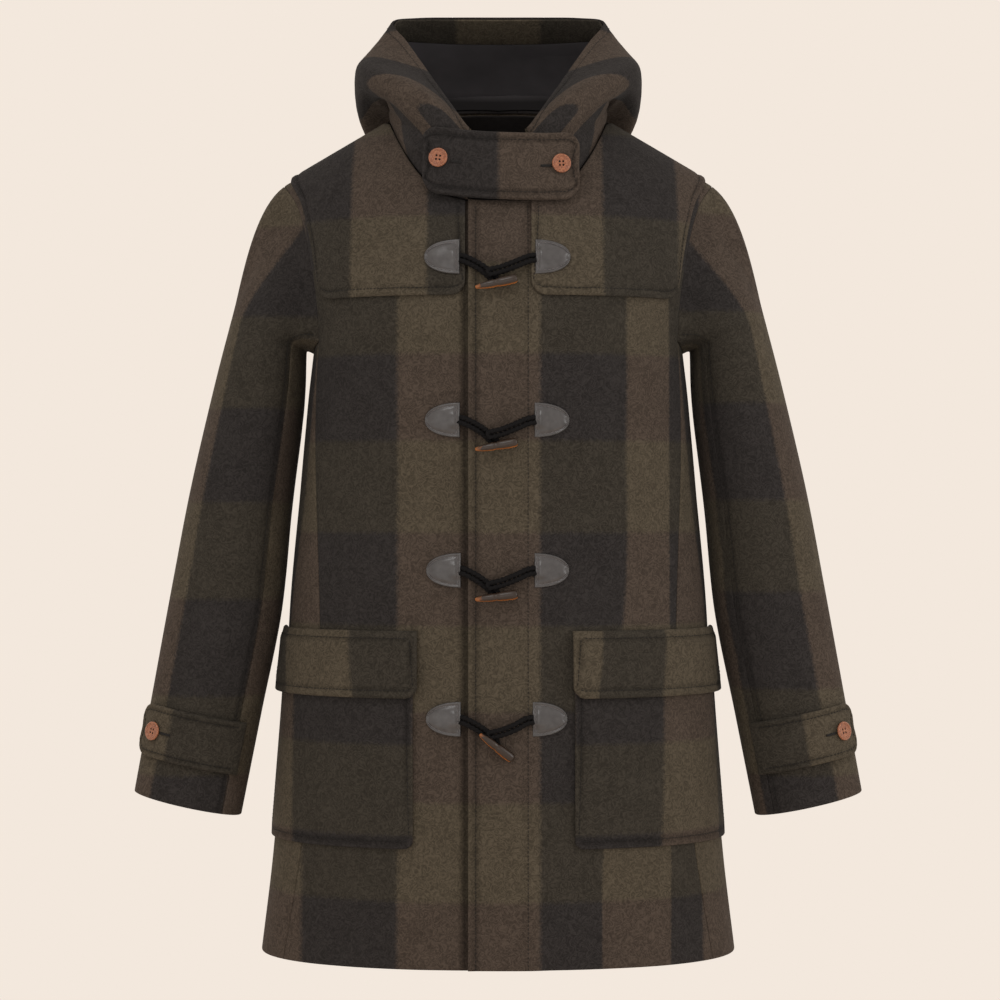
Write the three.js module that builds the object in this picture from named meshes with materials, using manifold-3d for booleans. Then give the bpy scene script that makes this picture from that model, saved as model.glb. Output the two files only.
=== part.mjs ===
// A hooded wool duffle coat, filled out as if worn, with nobody in it. Millimetres, +Z up, the front faces -Y,
// and the wearer's left is +X. The origin is the middle of the neck, level with the neck ends of the shoulder seams.
import * as THREE from "three";
import { mergeVertices } from "three/addons/utils/BufferGeometryUtils.js";
import Module from "manifold-3d";

const wasm = await Module();
wasm.setup();

// Driving dimensions
const SEAM_GAP = 0.3; // between two pieces that are sewn edge to edge or lie on each other
const ARMHOLE_GAP = 0.8;
const LAY_GAP = 0.9; // under a piece that lies on a curved one
const CLOTH = 3; // coat cloth, a heavy felted wool with its fusing
const LINING = 1.2;
const HEM_Z = -907;
const ARMPIT_Z = -251;
const ARMPIT_DIP = 10; // how far the armhole dips between the side seam and the back
const SEAM_ANGLE_AT_ARMPIT = 73; // degrees round from the centre front
const BACK_ARMHOLE_ANGLE = 113;
const SHOULDER_TIP_X = 234;
const SHOULDER_SEAM_Y = 12;
const SHOULDER_SLOPE = 0.584;
const NECK_X = 118;
const NECK_Z = -9;
const NECK_RISE = 0.42; // how the shoulder line would go on rising inside the neck
const CHEST_ROUNDNESS = 1.8;
const FRONT_NECK_Z = -108;
const FRONT_NECK_POWER = 3.2;
const BACK_NECK_Z = 8;
const OVERLAP_X = 31; // the wearer's left front laps this far past the centre
const UNDERLAP_X = 25;
const OVERLAP_FADE_X = 60; // the lapping front is back on the body's surface here

// Rings of the body below the armholes. A squareness of 2 is an ellipse, and more is boxier.
const BODY = [
  { z: -907, halfWidth: 257, front: 150, back: 146, squareness: 2.25 },
  { z: -812, halfWidth: 245.5, front: 150, back: 144, squareness: 2.25 },
  { z: -720, halfWidth: 237.5, front: 149, back: 142, squareness: 2.28 },
  { z: -630, halfWidth: 231, front: 147, back: 137, squareness: 2.3 },
  { z: -529, halfWidth: 226, front: 143, back: 128, squareness: 2.3 },
  { z: -420, halfWidth: 216, front: 142, back: 119, squareness: 2.35 },
  { z: -311, halfWidth: 206, front: 147, back: 122, squareness: 2.45 },
  { z: -251, halfWidth: 199, front: 150, back: 128, squareness: 2.5 },
];

// Where the side seam lies, in degrees round from the centre front.
const SIDE_SEAM = [
  { z: -907, angle: 61 },
  { z: -700, angle: 55 },
  { z: -545, angle: 54 },
  { z: -356, angle: 66 },
  { z: -251, angle: SEAM_ANGLE_AT_ARMPIT },
];

// How far out the armhole has moved towards the shoulder tip at each height, from 0 to 1.
const ARMHOLE = [
  { z: -251, share: 0 },
  { z: -219, share: 0.04 },
  { z: -177, share: 0.17 },
  { z: -132, share: 0.39 },
  { z: -99, share: 0.65 },
  { z: -77, share: 1 },
];

// Sections of the left sleeve, square to its axis: x, y and z of the middle, half sizes, and tilt in degrees.
const SLEEVE = [
  { at: 0, x: 250.5, y: 6, z: -243, halfWidth: 44, halfDepth: 73, tilt: 21 },
  { at: 1, x: 261, y: 5, z: -310, halfWidth: 50, halfDepth: 75, tilt: 12 },
  { at: 2, x: 280, y: 3, z: -420, halfWidth: 56, halfDepth: 71, tilt: 10.3 },
  { at: 3, x: 295.5, y: -4, z: -529, halfWidth: 61, halfDepth: 62, tilt: 10.4 },
  { at: 4, x: 315.5, y: -14, z: -638, halfWidth: 60, halfDepth: 53, tilt: 11.5 },
  { at: 5, x: 335.5, y: -23, z: -747, halfWidth: 59, halfDepth: 47, tilt: 12.6 },
];
const SLEEVE_LENGTH_STEP = 110; // between two sections
const UNDERARM_FOLD = 80; // degrees by which the sleeve turns away from the body at the lowest point of the seam
const SLEEVE_HEAD_PULL = 0.8; // how far the sleeve head runs on in the body's direction before it turns down

// Sections of the left half of the hood, from the throat at 1 to the centre back at 0: the top of the stand above
// the neck seam, the floor of the bag, its lowest fold, its fullest point, and the free edge of the face opening.
const HOOD = [
  row(1.0, [32, -123, -92], [33, -122, -78], [34, -121, -62], [33, -116, -46], [31, -106, -28]),
  row(0.8, [68, -106, -66], [70, -104, -44], [73, -110, -22], [66, -108, -4], [44, -79, -7]),
  row(0.65, [95, -82, -40], [97, -76, -18], [101, -88, -4], [98, -84, 22], [62, -47, 22]),
  row(0.5, [120, 6, 6], [121, -14, 14], [125, -54, 12], [137, -46, 40], [83, -6, 57]),
  row(0.38, [100, 44, 14], [124, 24, 14], [148, -12, 24], [153, 0, 54], [101, 27, 86]),
  row(0.28, [78, 60, 22], [116, 66, 0], [150, 62, -6], [152, 58, 56], [118, 58, 112]),
  row(0.18, [52, 66, 24], [84, 104, -12], [122, 128, -40], [124, 118, 52], [90, 66, 118]),
  row(0.08, [24, 68, 25], [42, 112, -20], [56, 158, -72], [57, 150, 48], [46, 68, 119]),
  row(0.0, [0, 68, 25], [0, 114, -22], [0, 164, -80], [0, 160, 48], [0, 68, 119]),
];
const HOOD_FRONT_SHARE = 0.5; // sections above this rise from the front neck, and the others from the back neck
const HOOD_SEAM_AT = 0.09; // the seams of the hood's centre panel
const FACING_FROM = 0.935; // the facing takes the rest of each section, up to the free edge
const HOOD_ROWS = [0, 0.1, 0.2, 0.3, 0.4, 0.5, 0.6, 0.7, 0.8, 0.87, FACING_FROM, 1];

// Fastenings
// The rows of toggles: height, the flat edges of the two patches, and how the toggle lies, in degrees.
const TOGGLES = [
  { z: -169, rightX: -39.5, leftX: 38, turn: 12, forward: 0 },
  { z: -337, rightX: -39.5, leftX: 37.5, turn: 10, forward: 0 },
  { z: -493, rightX: -38.4, leftX: 37.5, turn: 7, forward: 0 },
  { z: -647, rightX: -38.4, leftX: 35.5, turn: -38, forward: 12 },
];
const PATCH = { width: 36, halfHeight: 18, roundness: 2.2, thickness: 1.8, dome: 2.4 };
const CORD_RADIUS = 2.5;
const CORD_LIFT = CORD_RADIUS + 0.6; // from the cloth to the middle of a cord
const CORD_STEPS = 16;
const TOGGLE = { length: 44, thick: 5, waist: 3.9, tip: 1.6 };
const TOGGLE_X = -2;
const TOGGLE_DROP = 27; // below the middle of its two patches
const BUTTON = { radius: 10, thickness: 3.6, dish: 1.2, rim: 2.4, hole: 0.9, holeSpread: 1.9 };

// Tabs, yokes and pockets
const TAB = { left: 84, right: -78, top: -30.5, bottom: -101.5, corner: 16, thickness: 6 };
const TAB_BUTTONS = { right: -61, left: 64.5, z: -64 };
const TAB_Y = -130.3; // of its back, at the middle of its lower edge
const TAB_CURVE = 0.0016;
const TAB_LEAN = 0.1;
const TAB_BOW = 6; // how much lower its middle is than its ends
const TAB_SLANT = 0.05; // its drop towards the wearer's left
const YOKE_SETBACK = 2; // below the neck seam
const FLAP_THICKNESS = 4.5;
const CUFF_MM_PER_DEGREE = 0.96;
const HOOD_CLEAR = 1.3; // seam gaps between the neckline and the hood
const HOOD_SEAM_GAP = 0.004;
const FACING = 2;
const FACING_SEAM = 0.006;
const LINING_FROM = 0.02;
const YOKE = { inner: 34, bottom: -208, corner: 15, backBottom: -190, lay: 0.9 };
const POCKET = { top: -575, bottom: -782, corner: 9 };
const FLAP = { top: -556, bottom: -626, corner: 12 };
// Each side's x of a pocket's inner edge, and its width round the body from there, for the bag and the flap
const POCKET_SIDES = {
  right: { sign: -1, bag: [88, 215], flap: [83, 219] },
  left: { sign: 1, bag: [79.5, 223.5], flap: [77, 225] },
};
const CUFF_TAB = { top: 4.1, height: 56, seamTurn: 141, length: 118, corner: 15, thickness: 5, buttonAt: 93 };

const rad = THREE.MathUtils.degToRad;
const mix = THREE.MathUtils.lerp;
const clamp = THREE.MathUtils.clamp;
const group = new THREE.Group();

// One row of the hood's table.
function row(at, stand, floor, fold, full, edge) {
  const named = { at };
  for (const [name, point] of Object.entries({ stand, floor, fold, full, edge })) {
    ["x", "y", "z"].forEach((axis, i) => (named[name + axis] = point[i]));
  }
  return named;
}

// Every column of a table at one value of its first column, on a smooth curve through the rows.
function read(table, value) {
  const names = Object.keys(table[0]);
  const key = names[0];
  const up = table[0][key] < table[table.length - 1][key];
  const rows = up ? table : [...table].reverse();
  const last = rows.length - 1;
  const v = THREE.MathUtils.clamp(value, rows[0][key], rows[last][key]);
  let i = 0;
  while (i < last - 1 && v > rows[i + 1][key]) i += 1;
  const span = rows[i + 1][key] - rows[i][key];
  const t = (v - rows[i][key]) / span;
  const found = {};
  for (const name of names.slice(1)) {
    const slope = (k) => {
      const a = rows[Math.max(k - 1, 0)];
      const b = rows[Math.min(k + 1, last)];
      return (b[name] - a[name]) / (b[key] - a[key]);
    };
    const from = rows[i][name];
    const to = rows[i + 1][name];
    found[name] =
      (2 * t ** 3 - 3 * t ** 2 + 1) * from +
      (t ** 3 - 2 * t ** 2 + t) * span * slope(i) +
      (3 * t ** 2 - 2 * t ** 3) * to +
      (t ** 3 - t ** 2) * span * slope(i + 1);
  }
  return found;
}

function signedPower(value, power) {
  return Math.sign(value) * Math.abs(value) ** power;
}

// Evenly spaced numbers from a to b.
function steps(a, b, count) {
  return Array.from({ length: count + 1 }, (_, i) => mix(a, b, i / count));
}

// The unit normal of a surface of two parameters, turned to the side that out points to.
function normalOf(surface, a, b, stepA, stepB, out) {
  const across = surface(a + stepA, b).sub(surface(a - stepA, b));
  const along = surface(a, b + stepB).sub(surface(a, b - stepB));
  const normal = across.cross(along).normalize();
  return normal.dot(out) < 0 ? normal.negate() : normal;
}

// The body, by the angle round from the centre front and the height.
function ringPoint(angle, z) {
  const ring = read(BODY, z);
  const power = 2 / ring.squareness;
  const depth = Math.cos(angle) >= 0 ? ring.front : ring.back;
  const x = ring.halfWidth * signedPower(Math.sin(angle), power);
  return new THREE.Vector3(x, -depth * signedPower(Math.cos(angle), power), z);
}

const frontEdgeX = ringPoint(rad(SEAM_ANGLE_AT_ARMPIT), ARMPIT_Z).x;
const backEdgeX = ringPoint(rad(BACK_ARMHOLE_ANGLE), ARMPIT_Z).x;

function armholeX(z, front) {
  const edge = front ? frontEdgeX : backEdgeX;
  return mix(edge, SHOULDER_TIP_X, read(ARMHOLE, z).share);
}

function shoulderLine(x) {
  const past = Math.abs(x) - NECK_X;
  return NECK_Z - past * (past > 0 ? SHOULDER_SLOPE : NECK_RISE);
}

// The top edge of a front or of the back: the neckline near the middle, and the shoulder seam past it.
function topEdge(x, front) {
  const share = Math.abs(x) / NECK_X;
  if (share >= 1) return shoulderLine(x);
  const middle = front ? FRONT_NECK_Z : BACK_NECK_Z;
  return middle + (NECK_Z - middle) * share ** (front ? FRONT_NECK_POWER : 2);
}

// Above the armpits each upright line of the body curves in to the shoulder seam as a rounded quarter.
function bodyPoint(angle, z) {
  if (z <= ARMPIT_Z) return ringPoint(angle, z);
  const front = Math.cos(angle) >= 0;
  const start = ringPoint(angle, ARMPIT_Z);
  const x = (start.x / (front ? frontEdgeX : backEdgeX)) * armholeX(z, front);
  const climb = Math.min((z - ARMPIT_Z) / (shoulderLine(x) - ARMPIT_Z), 1);
  const depth = (1 - climb ** CHEST_ROUNDNESS) ** (1 / CHEST_ROUNDNESS);
  return new THREE.Vector3(x, mix(SHOULDER_SEAM_Y, start.y, depth), z);
}

// The angle at which the front or the back of the body reaches x.
function angleAtX(x, z, front = true) {
  const level = Math.min(z, ARMPIT_Z);
  const ring = read(BODY, level);
  const edge = front ? frontEdgeX : backEdgeX;
  const reached = z > ARMPIT_Z ? (x * edge) / armholeX(z, front) : x;
  const share = THREE.MathUtils.clamp(reached / ring.halfWidth, -1, 1);
  const angle = Math.asin(signedPower(share, ring.squareness / 2));
  return front ? angle : Math.PI - angle;
}

function bodyNormal(angle, z) {
  const centre = new THREE.Vector3(0, 0, z - 60);
  const point = bodyPoint(angle, z);
  const normal = normalOf(bodyPoint, angle, z, 0.02, 1, point.clone().sub(centre));
  const atSeam = Math.abs(point.y - SHOULDER_SEAM_Y) < 0.01 && z > ARMPIT_Z;
  return atSeam ? normal.setY(0).normalize() : normal;
}

function bodyFace(angle, z, out) {
  return bodyPoint(angle, z).addScaledVector(bodyNormal(angle, z), out);
}

// The height at which the upright line angleAt(z) meets the top edge.
function topOf(angleAt, front) {
  let low = ARMPIT_Z;
  let high = 40;
  for (let i = 0; i < 40; i += 1) {
    const z = (low + high) / 2;
    if (z < topEdge(bodyPoint(angleAt(z), z).x, front)) low = z;
    else high = z;
  }
  return low;
}

// A closed wall from two grids of points, joined round each free edge. present(i, j) tells which cells are there.
function wall(outer, inner, present = () => true) {
  const columns = outer.length;
  const rows = outer[0].length;
  const half = columns * rows;
  const at = (i, j) => i * rows + j;
  const there = (i, j) => i >= 0 && j >= 0 && i < columns - 1 && j < rows - 1 && present(i, j);
  const index = [];
  const quad = (a, b, c, d) => index.push(a, b, c, a, c, d);
  for (let i = 0; i < columns - 1; i += 1) {
    for (let j = 0; j < rows - 1; j += 1) {
      if (!there(i, j)) continue;
      const [a, b, c, d] = [at(i, j), at(i + 1, j), at(i + 1, j + 1), at(i, j + 1)];
      quad(a, b, c, d);
      quad(half + a, half + d, half + c, half + b);
      if (!there(i, j - 1)) quad(b, a, half + a, half + b);
      if (!there(i + 1, j)) quad(c, b, half + b, half + c);
      if (!there(i, j + 1)) quad(d, c, half + c, half + d);
      if (!there(i - 1, j)) quad(a, d, half + d, half + a);
    }
  }
  const points = [...outer.flat(), ...inner.flat()];
  const geometry = new THREE.BufferGeometry().setFromPoints(points).setIndex(index);
  return volumeOf(geometry) < 0 ? turnedRound(geometry) : geometry;
}

function volumeOf(geometry) {
  const place = geometry.attributes.position;
  const index = geometry.index.array;
  const [a, b, c] = [new THREE.Vector3(), new THREE.Vector3(), new THREE.Vector3()];
  let volume = 0;
  for (let i = 0; i < index.length; i += 3) {
    a.fromBufferAttribute(place, index[i]);
    b.fromBufferAttribute(place, index[i + 1]);
    c.fromBufferAttribute(place, index[i + 2]);
    volume += a.dot(b.cross(c)) / 6;
  }
  return volume;
}

function turnedRound(geometry) {
  const index = geometry.index.array;
  for (let i = 0; i < index.length; i += 3) [index[i], index[i + 1]] = [index[i + 1], index[i]];
  return geometry;
}

const FINISH = {
  wool: { color: 0x3f3b34, roughness: 0.95, metalness: 0 },
  lining: { color: 0x17161a, roughness: 0.8, metalness: 0 },
  leather: { color: 0x4a4a4c, roughness: 0.4, metalness: 0 },
  cord: { color: 0x141415, roughness: 0.85, metalness: 0 },
  horn: { color: 0x2b2119, roughness: 0.3, metalness: 0 },
  button: { color: 0xa0603f, roughness: 0.4, metalness: 0 },
};

function add(name, geometry, finish) {
  geometry.computeVertexNormals();
  const mesh = new THREE.Mesh(geometry, new THREE.MeshStandardMaterial(FINISH[finish]));
  mesh.name = name;
  group.add(mesh);
  return mesh;
}

// A layer between two depths of a surface: face(a, b, out) over the columns, from(a) up to to(a) in each.
function layer({ face, columns, from, to, rows, inner, outer, ease = 1 }) {
  const rise = steps(0, 1, rows).map((share) => 1 - (1 - share) ** ease);
  const grid = (out) =>
    columns.map((a) => rise.map((share) => face(a, mix(from(a), to(a), share), out(a, share))));
  return wall(grid(outer), grid(inner));
}

// How much a rounded corner takes off an edge at a distance from the side.
function cornerCut(distance, radius) {
  const inside = Math.max(radius - Math.max(distance, 0), 0);
  return radius - Math.sqrt(radius ** 2 - inside ** 2);
}

// Columns across a plate, with more of them in its rounded corners.
function platedColumns(from, to, cornerFrom, cornerTo, count) {
  const bend = [0, 0.12, 0.45];
  const start = cornerFrom ? bend.map((share) => from + share * cornerFrom) : [];
  const end = cornerTo ? bend.map((share) => to - share * cornerTo).reverse() : [];
  return [...start, ...steps(from + cornerFrom, to - cornerTo, count), ...end];
}

// The fronts and the back. Columns at a fixed x reach the neckline, and the others fan out to the side.
const LOWER_ROWS = steps(HEM_Z, ARMPIT_Z, 10);
const UPPER_ROWS = steps(0, 1, 7).map((share) => 1 - (1 - share) ** 1.6);
const NECK_COLUMNS = [30, 64, 96, NECK_X];
const OUTER_CELLS = 6;

function seamAngle(z) {
  return rad(z > ARMPIT_Z ? SEAM_ANGLE_AT_ARMPIT : read(SIDE_SEAM, z).angle);
}

// One upright line of a panel: its angle at each height, and its own height at each row.
function bodyLine(angleAt, front, side = 0) {
  const top = side ? ARMPIT_Z : topOf(angleAt, front);
  const dip = ARMPIT_DIP * Math.sin(Math.PI * side);
  const heights = LOWER_ROWS.map((z) => (z === ARMPIT_Z ? z - dip : z));
  for (const share of UPPER_ROWS.slice(1)) heights.push(mix(ARMPIT_Z, top, share));
  return { angleAt, heights };
}

function neckLine(x, front) {
  return bodyLine((z) => angleAtX(x, z, front), front);
}

function fanLine(sign, front, share, gap) {
  const angleAt = (z) => {
    const near = angleAtX(NECK_X, z, front);
    const far = front ? seamAngle(z) - gap : rad(BACK_ARMHOLE_ANGLE);
    return sign * mix(near, far, share);
  };
  return bodyLine(angleAt, front);
}

function fanLines(sign, front, gap) {
  return steps(0, 1, OUTER_CELLS)
    .slice(1)
    .map((share) => fanLine(sign, front, share, gap));
}

// How far the lapping front stands off the body.
function lapLift(x) {
  if (x < -OVERLAP_X - 1) return 0;
  const share = THREE.MathUtils.smoothstep(x, UNDERLAP_X + 3, OVERLAP_FADE_X);
  return (CLOTH + SEAM_GAP) * (1 - share);
}

function panel(lines, lift, present) {
  const grid = (depth) =>
    lines.map(({ angleAt, heights }) =>
      heights.map((z) => {
        const angle = angleAt(z);
        return bodyFace(angle, z, lift(bodyPoint(angle, z).x) - depth);
      }),
    );
  return wall(grid(0), grid(CLOTH), present);
}

const gapAngle = SEAM_GAP / 2 / 180; // half a seam gap, as an angle round the body
const shoulderGap = SEAM_GAP / 2;

// Moves the shoulder edge of a panel back from the seam by half the gap.
function openShoulderSeam(geometry, side) {
  const place = geometry.attributes.position;
  for (let i = 0; i < place.count; i += 1) {
    const atSeam = Math.abs(place.getY(i) - SHOULDER_SEAM_Y) < 0.02 && place.getZ(i) > -100;
    if (atSeam) place.setY(i, SHOULDER_SEAM_Y + side * shoulderGap);
  }
  return geometry;
}

function frontLines(sign) {
  const first = sign > 0 ? [-OVERLAP_X, 0] : [UNDERLAP_X, 0];
  const xs = [...first, ...NECK_COLUMNS.map((x) => sign * x)];
  return [...xs.map((x) => neckLine(x, true)), ...fanLines(sign, true, gapAngle)];
}

function addFronts() {
  add("front_right", openShoulderSeam(panel(frontLines(-1), () => 0), -1), "wool");
  add("front_left", openShoulderSeam(panel(frontLines(1), lapLift), -1), "wool");
}

const SIDE_CELLS = 4;
function sideLines(sign) {
  return steps(0, 1, SIDE_CELLS)
    .slice(0, -1)
    .map((share) =>
      bodyLine((z) => sign * mix(seamAngle(z) + gapAngle, rad(BACK_ARMHOLE_ANGLE), share), false, share || 1e-9),
    );
}

function addBack() {
  const half = (sign) => [
    ...sideLines(sign),
    ...fanLines(sign, false, 0).reverse(),
    ...[...NECK_COLUMNS].reverse().map((x) => backNeckLine(sign * x)),
  ];
  const lines = [...half(1), backNeckLine(0), ...half(-1).reverse()];
  const lastLower = LOWER_ROWS.length - 1;
  const present = (i, j) => {
    const fromSide = Math.min(i, lines.length - 2 - i);
    return j < lastLower || fromSide >= SIDE_CELLS;
  };
  add("back", openShoulderSeam(panel(lines, () => 0, present), 1), "wool");
}

function backNeckLine(x) {
  const sign = Math.sign(x) || 1;
  return bodyLine((z) => sign * angleAtX(Math.abs(x), z, false), false);
}

// The sleeves. The armhole ring runs from the shoulder tip down the front, under the arm and up the back.
function armholeLines(sign) {
  const front = bodyLine((z) => sign * (seamAngle(z) - gapAngle), true);
  const back = bodyLine((z) => sign * rad(BACK_ARMHOLE_ANGLE), false);
  const base = LOWER_ROWS.length - 1;
  const under = sideLines(sign).slice(1);
  const ring = [];
  for (let j = front.heights.length - 1; j >= base; j -= 1) ring.push([front.angleAt, front.heights[j]]);
  for (const line of under) ring.push([line.angleAt, line.heights[base]]);
  for (let j = base; j < back.heights.length - 1; j += 1) ring.push([back.angleAt, back.heights[j]]);
  return ring.map(([angleAt, z]) => {
    const angle = angleAt(z);
    return { point: bodyPoint(angle, z), normal: bodyNormal(angle, z) };
  });
}

// Each ring point's way out of the body, and its turn round the sleeve: 0 outside, 90 in front, 180 inside. Under
// the arm the sleeve folds over at the seam, so its first row faces down there.
function armhole(sign) {
  const ring = armholeLines(sign);
  const count = ring.length;
  const lengths = ring.map((here, i) => here.point.distanceTo(ring[(i + 1) % count].point));
  const lowest = ring.reduce((best, here, i) => (here.point.z < ring[best].point.z ? i : best), 0);
  const total = (from, to) => lengths.slice(from, to).reduce((sum, l) => sum + l, 0);
  const down = total(0, lowest);
  const up = total(lowest, count);
  ring.forEach((here, i) => {
    const before = ring[(i + count - 1) % count].point;
    const after = ring[(i + 1) % count].point;
    here.turn = i <= lowest ? (180 * total(0, i)) / down : 180 + (180 * total(lowest, i)) / up;
    const past = here.normal.clone().cross(after.clone().sub(before)).normalize().multiplyScalar(sign);
    const fold = rad(UNDERARM_FOLD) * Math.max(-Math.cos(rad(here.turn)), 0) ** 2;
    here.way = past.clone().multiplyScalar(Math.cos(fold)).addScaledVector(here.normal, Math.sin(fold));
    here.normal.multiplyScalar(Math.cos(fold)).addScaledVector(past, -Math.sin(fold));
  });
  return ring;
}

// A point of the sleeve's outer face, by its turn in degrees and its place down the sleeve in table rows.
function sleeveSection(sign, turn, at) {
  const s = read(SLEEVE, at);
  const wide = s.halfWidth * Math.cos(rad(turn));
  const tilt = rad(s.tilt);
  return new THREE.Vector3(
    sign * (s.x + wide * Math.cos(tilt)),
    s.y - s.halfDepth * Math.sin(rad(turn)),
    s.z + wide * Math.sin(tilt),
  );
}

// The sleeve head is a curve from each armhole point, leaving along the body and arriving along the sleeve.
function sleevePoint(sign, ring, column, at) {
  const low = Math.floor(column);
  const t = column - low;
  const [a, b] = [ring[low % ring.length], ring[(low + 1) % ring.length]];
  const turn = mix(a.turn, b.turn < a.turn ? 360 : b.turn, t);
  if (at >= 0) return sleeveSection(sign, turn, at);
  const start = a.point.clone().lerp(b.point, t);
  const way = a.way.clone().lerp(b.way, t).normalize();
  start.addScaledVector(way, ARMHOLE_GAP);
  const end = sleeveSection(sign, turn, 0);
  const down = sleeveSection(sign, turn, 0.1).sub(end).normalize();
  const reach = start.distanceTo(end) * SLEEVE_HEAD_PULL;
  const s = 1 + at;
  return start
    .multiplyScalar(2 * s ** 3 - 3 * s ** 2 + 1)
    .addScaledVector(way, (s ** 3 - 2 * s ** 2 + s) * reach)
    .addScaledVector(end, 3 * s ** 2 - 2 * s ** 3)
    .addScaledVector(down, (s ** 3 - s ** 2) * reach);
}

function sleeveNormal(sign, ring, column, at) {
  if (at === -1) return ringNormal(ring, column);
  const count = ring.length;
  const surface = (c, a) => sleevePoint(sign, ring, (c + count) % count, Math.max(a, -1));
  const across = surface(column + 0.5, at).sub(surface(column - 0.5, at));
  const along = surface(column, at + 0.05).sub(surface(column, at - 0.05));
  return across.cross(along).normalize().multiplyScalar(sign);
}

function ringNormal(ring, column) {
  const low = Math.floor(column);
  const [a, b] = [ring[low % ring.length], ring[(low + 1) % ring.length]];
  return a.normal.clone().lerp(b.normal, column - low).normalize();
}

const HEAD_ROWS = [-1, -0.88, -0.7, -0.45, -0.2, 0];
const SLEEVE_ROWS = [...HEAD_ROWS, 0.5, 1, 1.75, 2.5, 3.25, 4, 4.5, 5];

function sleeve(sign, ring, columns) {
  const grid = (depth) =>
    columns.map((column) =>
      SLEEVE_ROWS.map((at) =>
        sleevePoint(sign, ring, column, at).addScaledVector(sleeveNormal(sign, ring, column, at), -depth),
      ),
    );
  return wall(grid(0), grid(CLOTH));
}

const rings = { right: armhole(-1), left: armhole(1) };
const frontSeamColumn = UPPER_ROWS.length - 1;
const backSeamColumn = frontSeamColumn + SIDE_CELLS;
const seamShare = SEAM_GAP / 22; // half a seam gap, in columns of the sleeve

function addSleeve(name, sign) {
  const ring = rings[name];
  const count = ring.length;
  const under = steps(frontSeamColumn, backSeamColumn, SIDE_CELLS);
  const upper = steps(backSeamColumn, frontSeamColumn + count, count - SIDE_CELLS);
  for (const columns of [under, upper]) {
    columns[0] += seamShare;
    columns[columns.length - 1] -= seamShare;
  }
  add("sleeve_under_" + name, sleeve(sign, ring, under), "wool");
  add("sleeve_upper_" + name, sleeve(sign, ring, upper), "wool");
}

// The hood. Sections run from the throat at 1 to the centre back at 0 and on to the other throat at -1.
function hoodSeam(w) {
  const share = Math.abs(w);
  const sign = Math.sign(w) || 1;
  const front = share > HOOD_FRONT_SHARE;
  const reach = front
    ? mix(NECK_X, OVERLAP_X + 1, (share - HOOD_FRONT_SHARE) / (1 - HOOD_FRONT_SHARE))
    : (NECK_X * share) / HOOD_FRONT_SHARE;
  const xs = [0, ...NECK_COLUMNS];
  const i = Math.min(xs.findLastIndex((x) => x <= reach), xs.length - 2);
  const corner = (x) => {
    const z = topEdge(x, front);
    const lift = sign > 0 && front ? lapLift(x) : 0;
    return bodyFace(sign * angleAtX(x, z, front), z, lift);
  };
  return corner(xs[i]).lerp(corner(xs[i + 1]), (reach - xs[i]) / (xs[i + 1] - xs[i]));
}

// One point of a section: up from the neck seam through the table's four points to the free edge.
function hoodPoint(w, share) {
  const s = read(HOOD, Math.abs(w));
  const sign = Math.sign(w) || 1;
  const seam = hoodSeam(w);
  const points = [seam];
  for (const name of ["stand", "floor", "fold", "full", "edge"]) {
    points.push(new THREE.Vector3(sign * s[name + "x"], s[name + "y"], s[name + "z"]));
  }
  const rise = points[1].clone().sub(seam).normalize();
  points[0] = seam.addScaledVector(rise, SEAM_GAP * HOOD_CLEAR);
  return new THREE.CatmullRomCurve3(points, false, "centripetal").getPoint(share);
}

function hoodNormal(w, share) {
  const surface = (a, b) => hoodPoint(clamp(a, -1, 1), clamp(b, 0, 1));
  const across = surface(w + 0.012, share).sub(surface(w - 0.012, share));
  const along = surface(w, share + 0.02).sub(surface(w, share - 0.02));
  return along.cross(across).normalize();
}

function hoodFace(w, share, out) {
  return hoodPoint(w, share).addScaledVector(hoodNormal(w, share), out);
}

function hoodLayer(name, columns, rows, outer, inner, finish) {
  const grid = (out) => columns.map((w) => rows.map((share) => hoodFace(w, share, out)));
  add(name, wall(grid(outer), grid(inner)), finish);
}

function addHood() {
  const inmost = HOOD_SEAM_AT + HOOD_SEAM_GAP;
  const rightSide = steps(-1, -inmost, 14);
  const leftSide = steps(inmost, 1, 14);
  const centre = steps(-HOOD_SEAM_AT, HOOD_SEAM_AT, 4);
  hoodLayer("hood_side_left", leftSide, HOOD_ROWS, 0, -CLOTH, "wool");
  hoodLayer("hood_side_right", rightSide, HOOD_ROWS, 0, -CLOTH, "wool");
  hoodLayer("hood_centre", centre, HOOD_ROWS, 0, -CLOTH, "wool");
  const inside = -CLOTH - LAY_GAP;
  const round = [...rightSide.slice(0, -1), ...centre, ...leftSide.slice(1)];
  const lined = [LINING_FROM, ...HOOD_ROWS.filter((share) => share > 0 && share < FACING_FROM), FACING_FROM - FACING_SEAM];
  const faced = HOOD_ROWS.filter((share) => share >= FACING_FROM);
  hoodLayer("hood_lining", round, lined, inside, inside - LINING, "lining");
  hoodLayer("hood_facing", round, faced, inside, inside - FACING, "wool");
}

// Pieces that lie on the body, by x and height or by the way round from the centre front and height.
function onFront(x, z, out) {
  return bodyFace(angleAtX(x, z), z, out);
}

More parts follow.
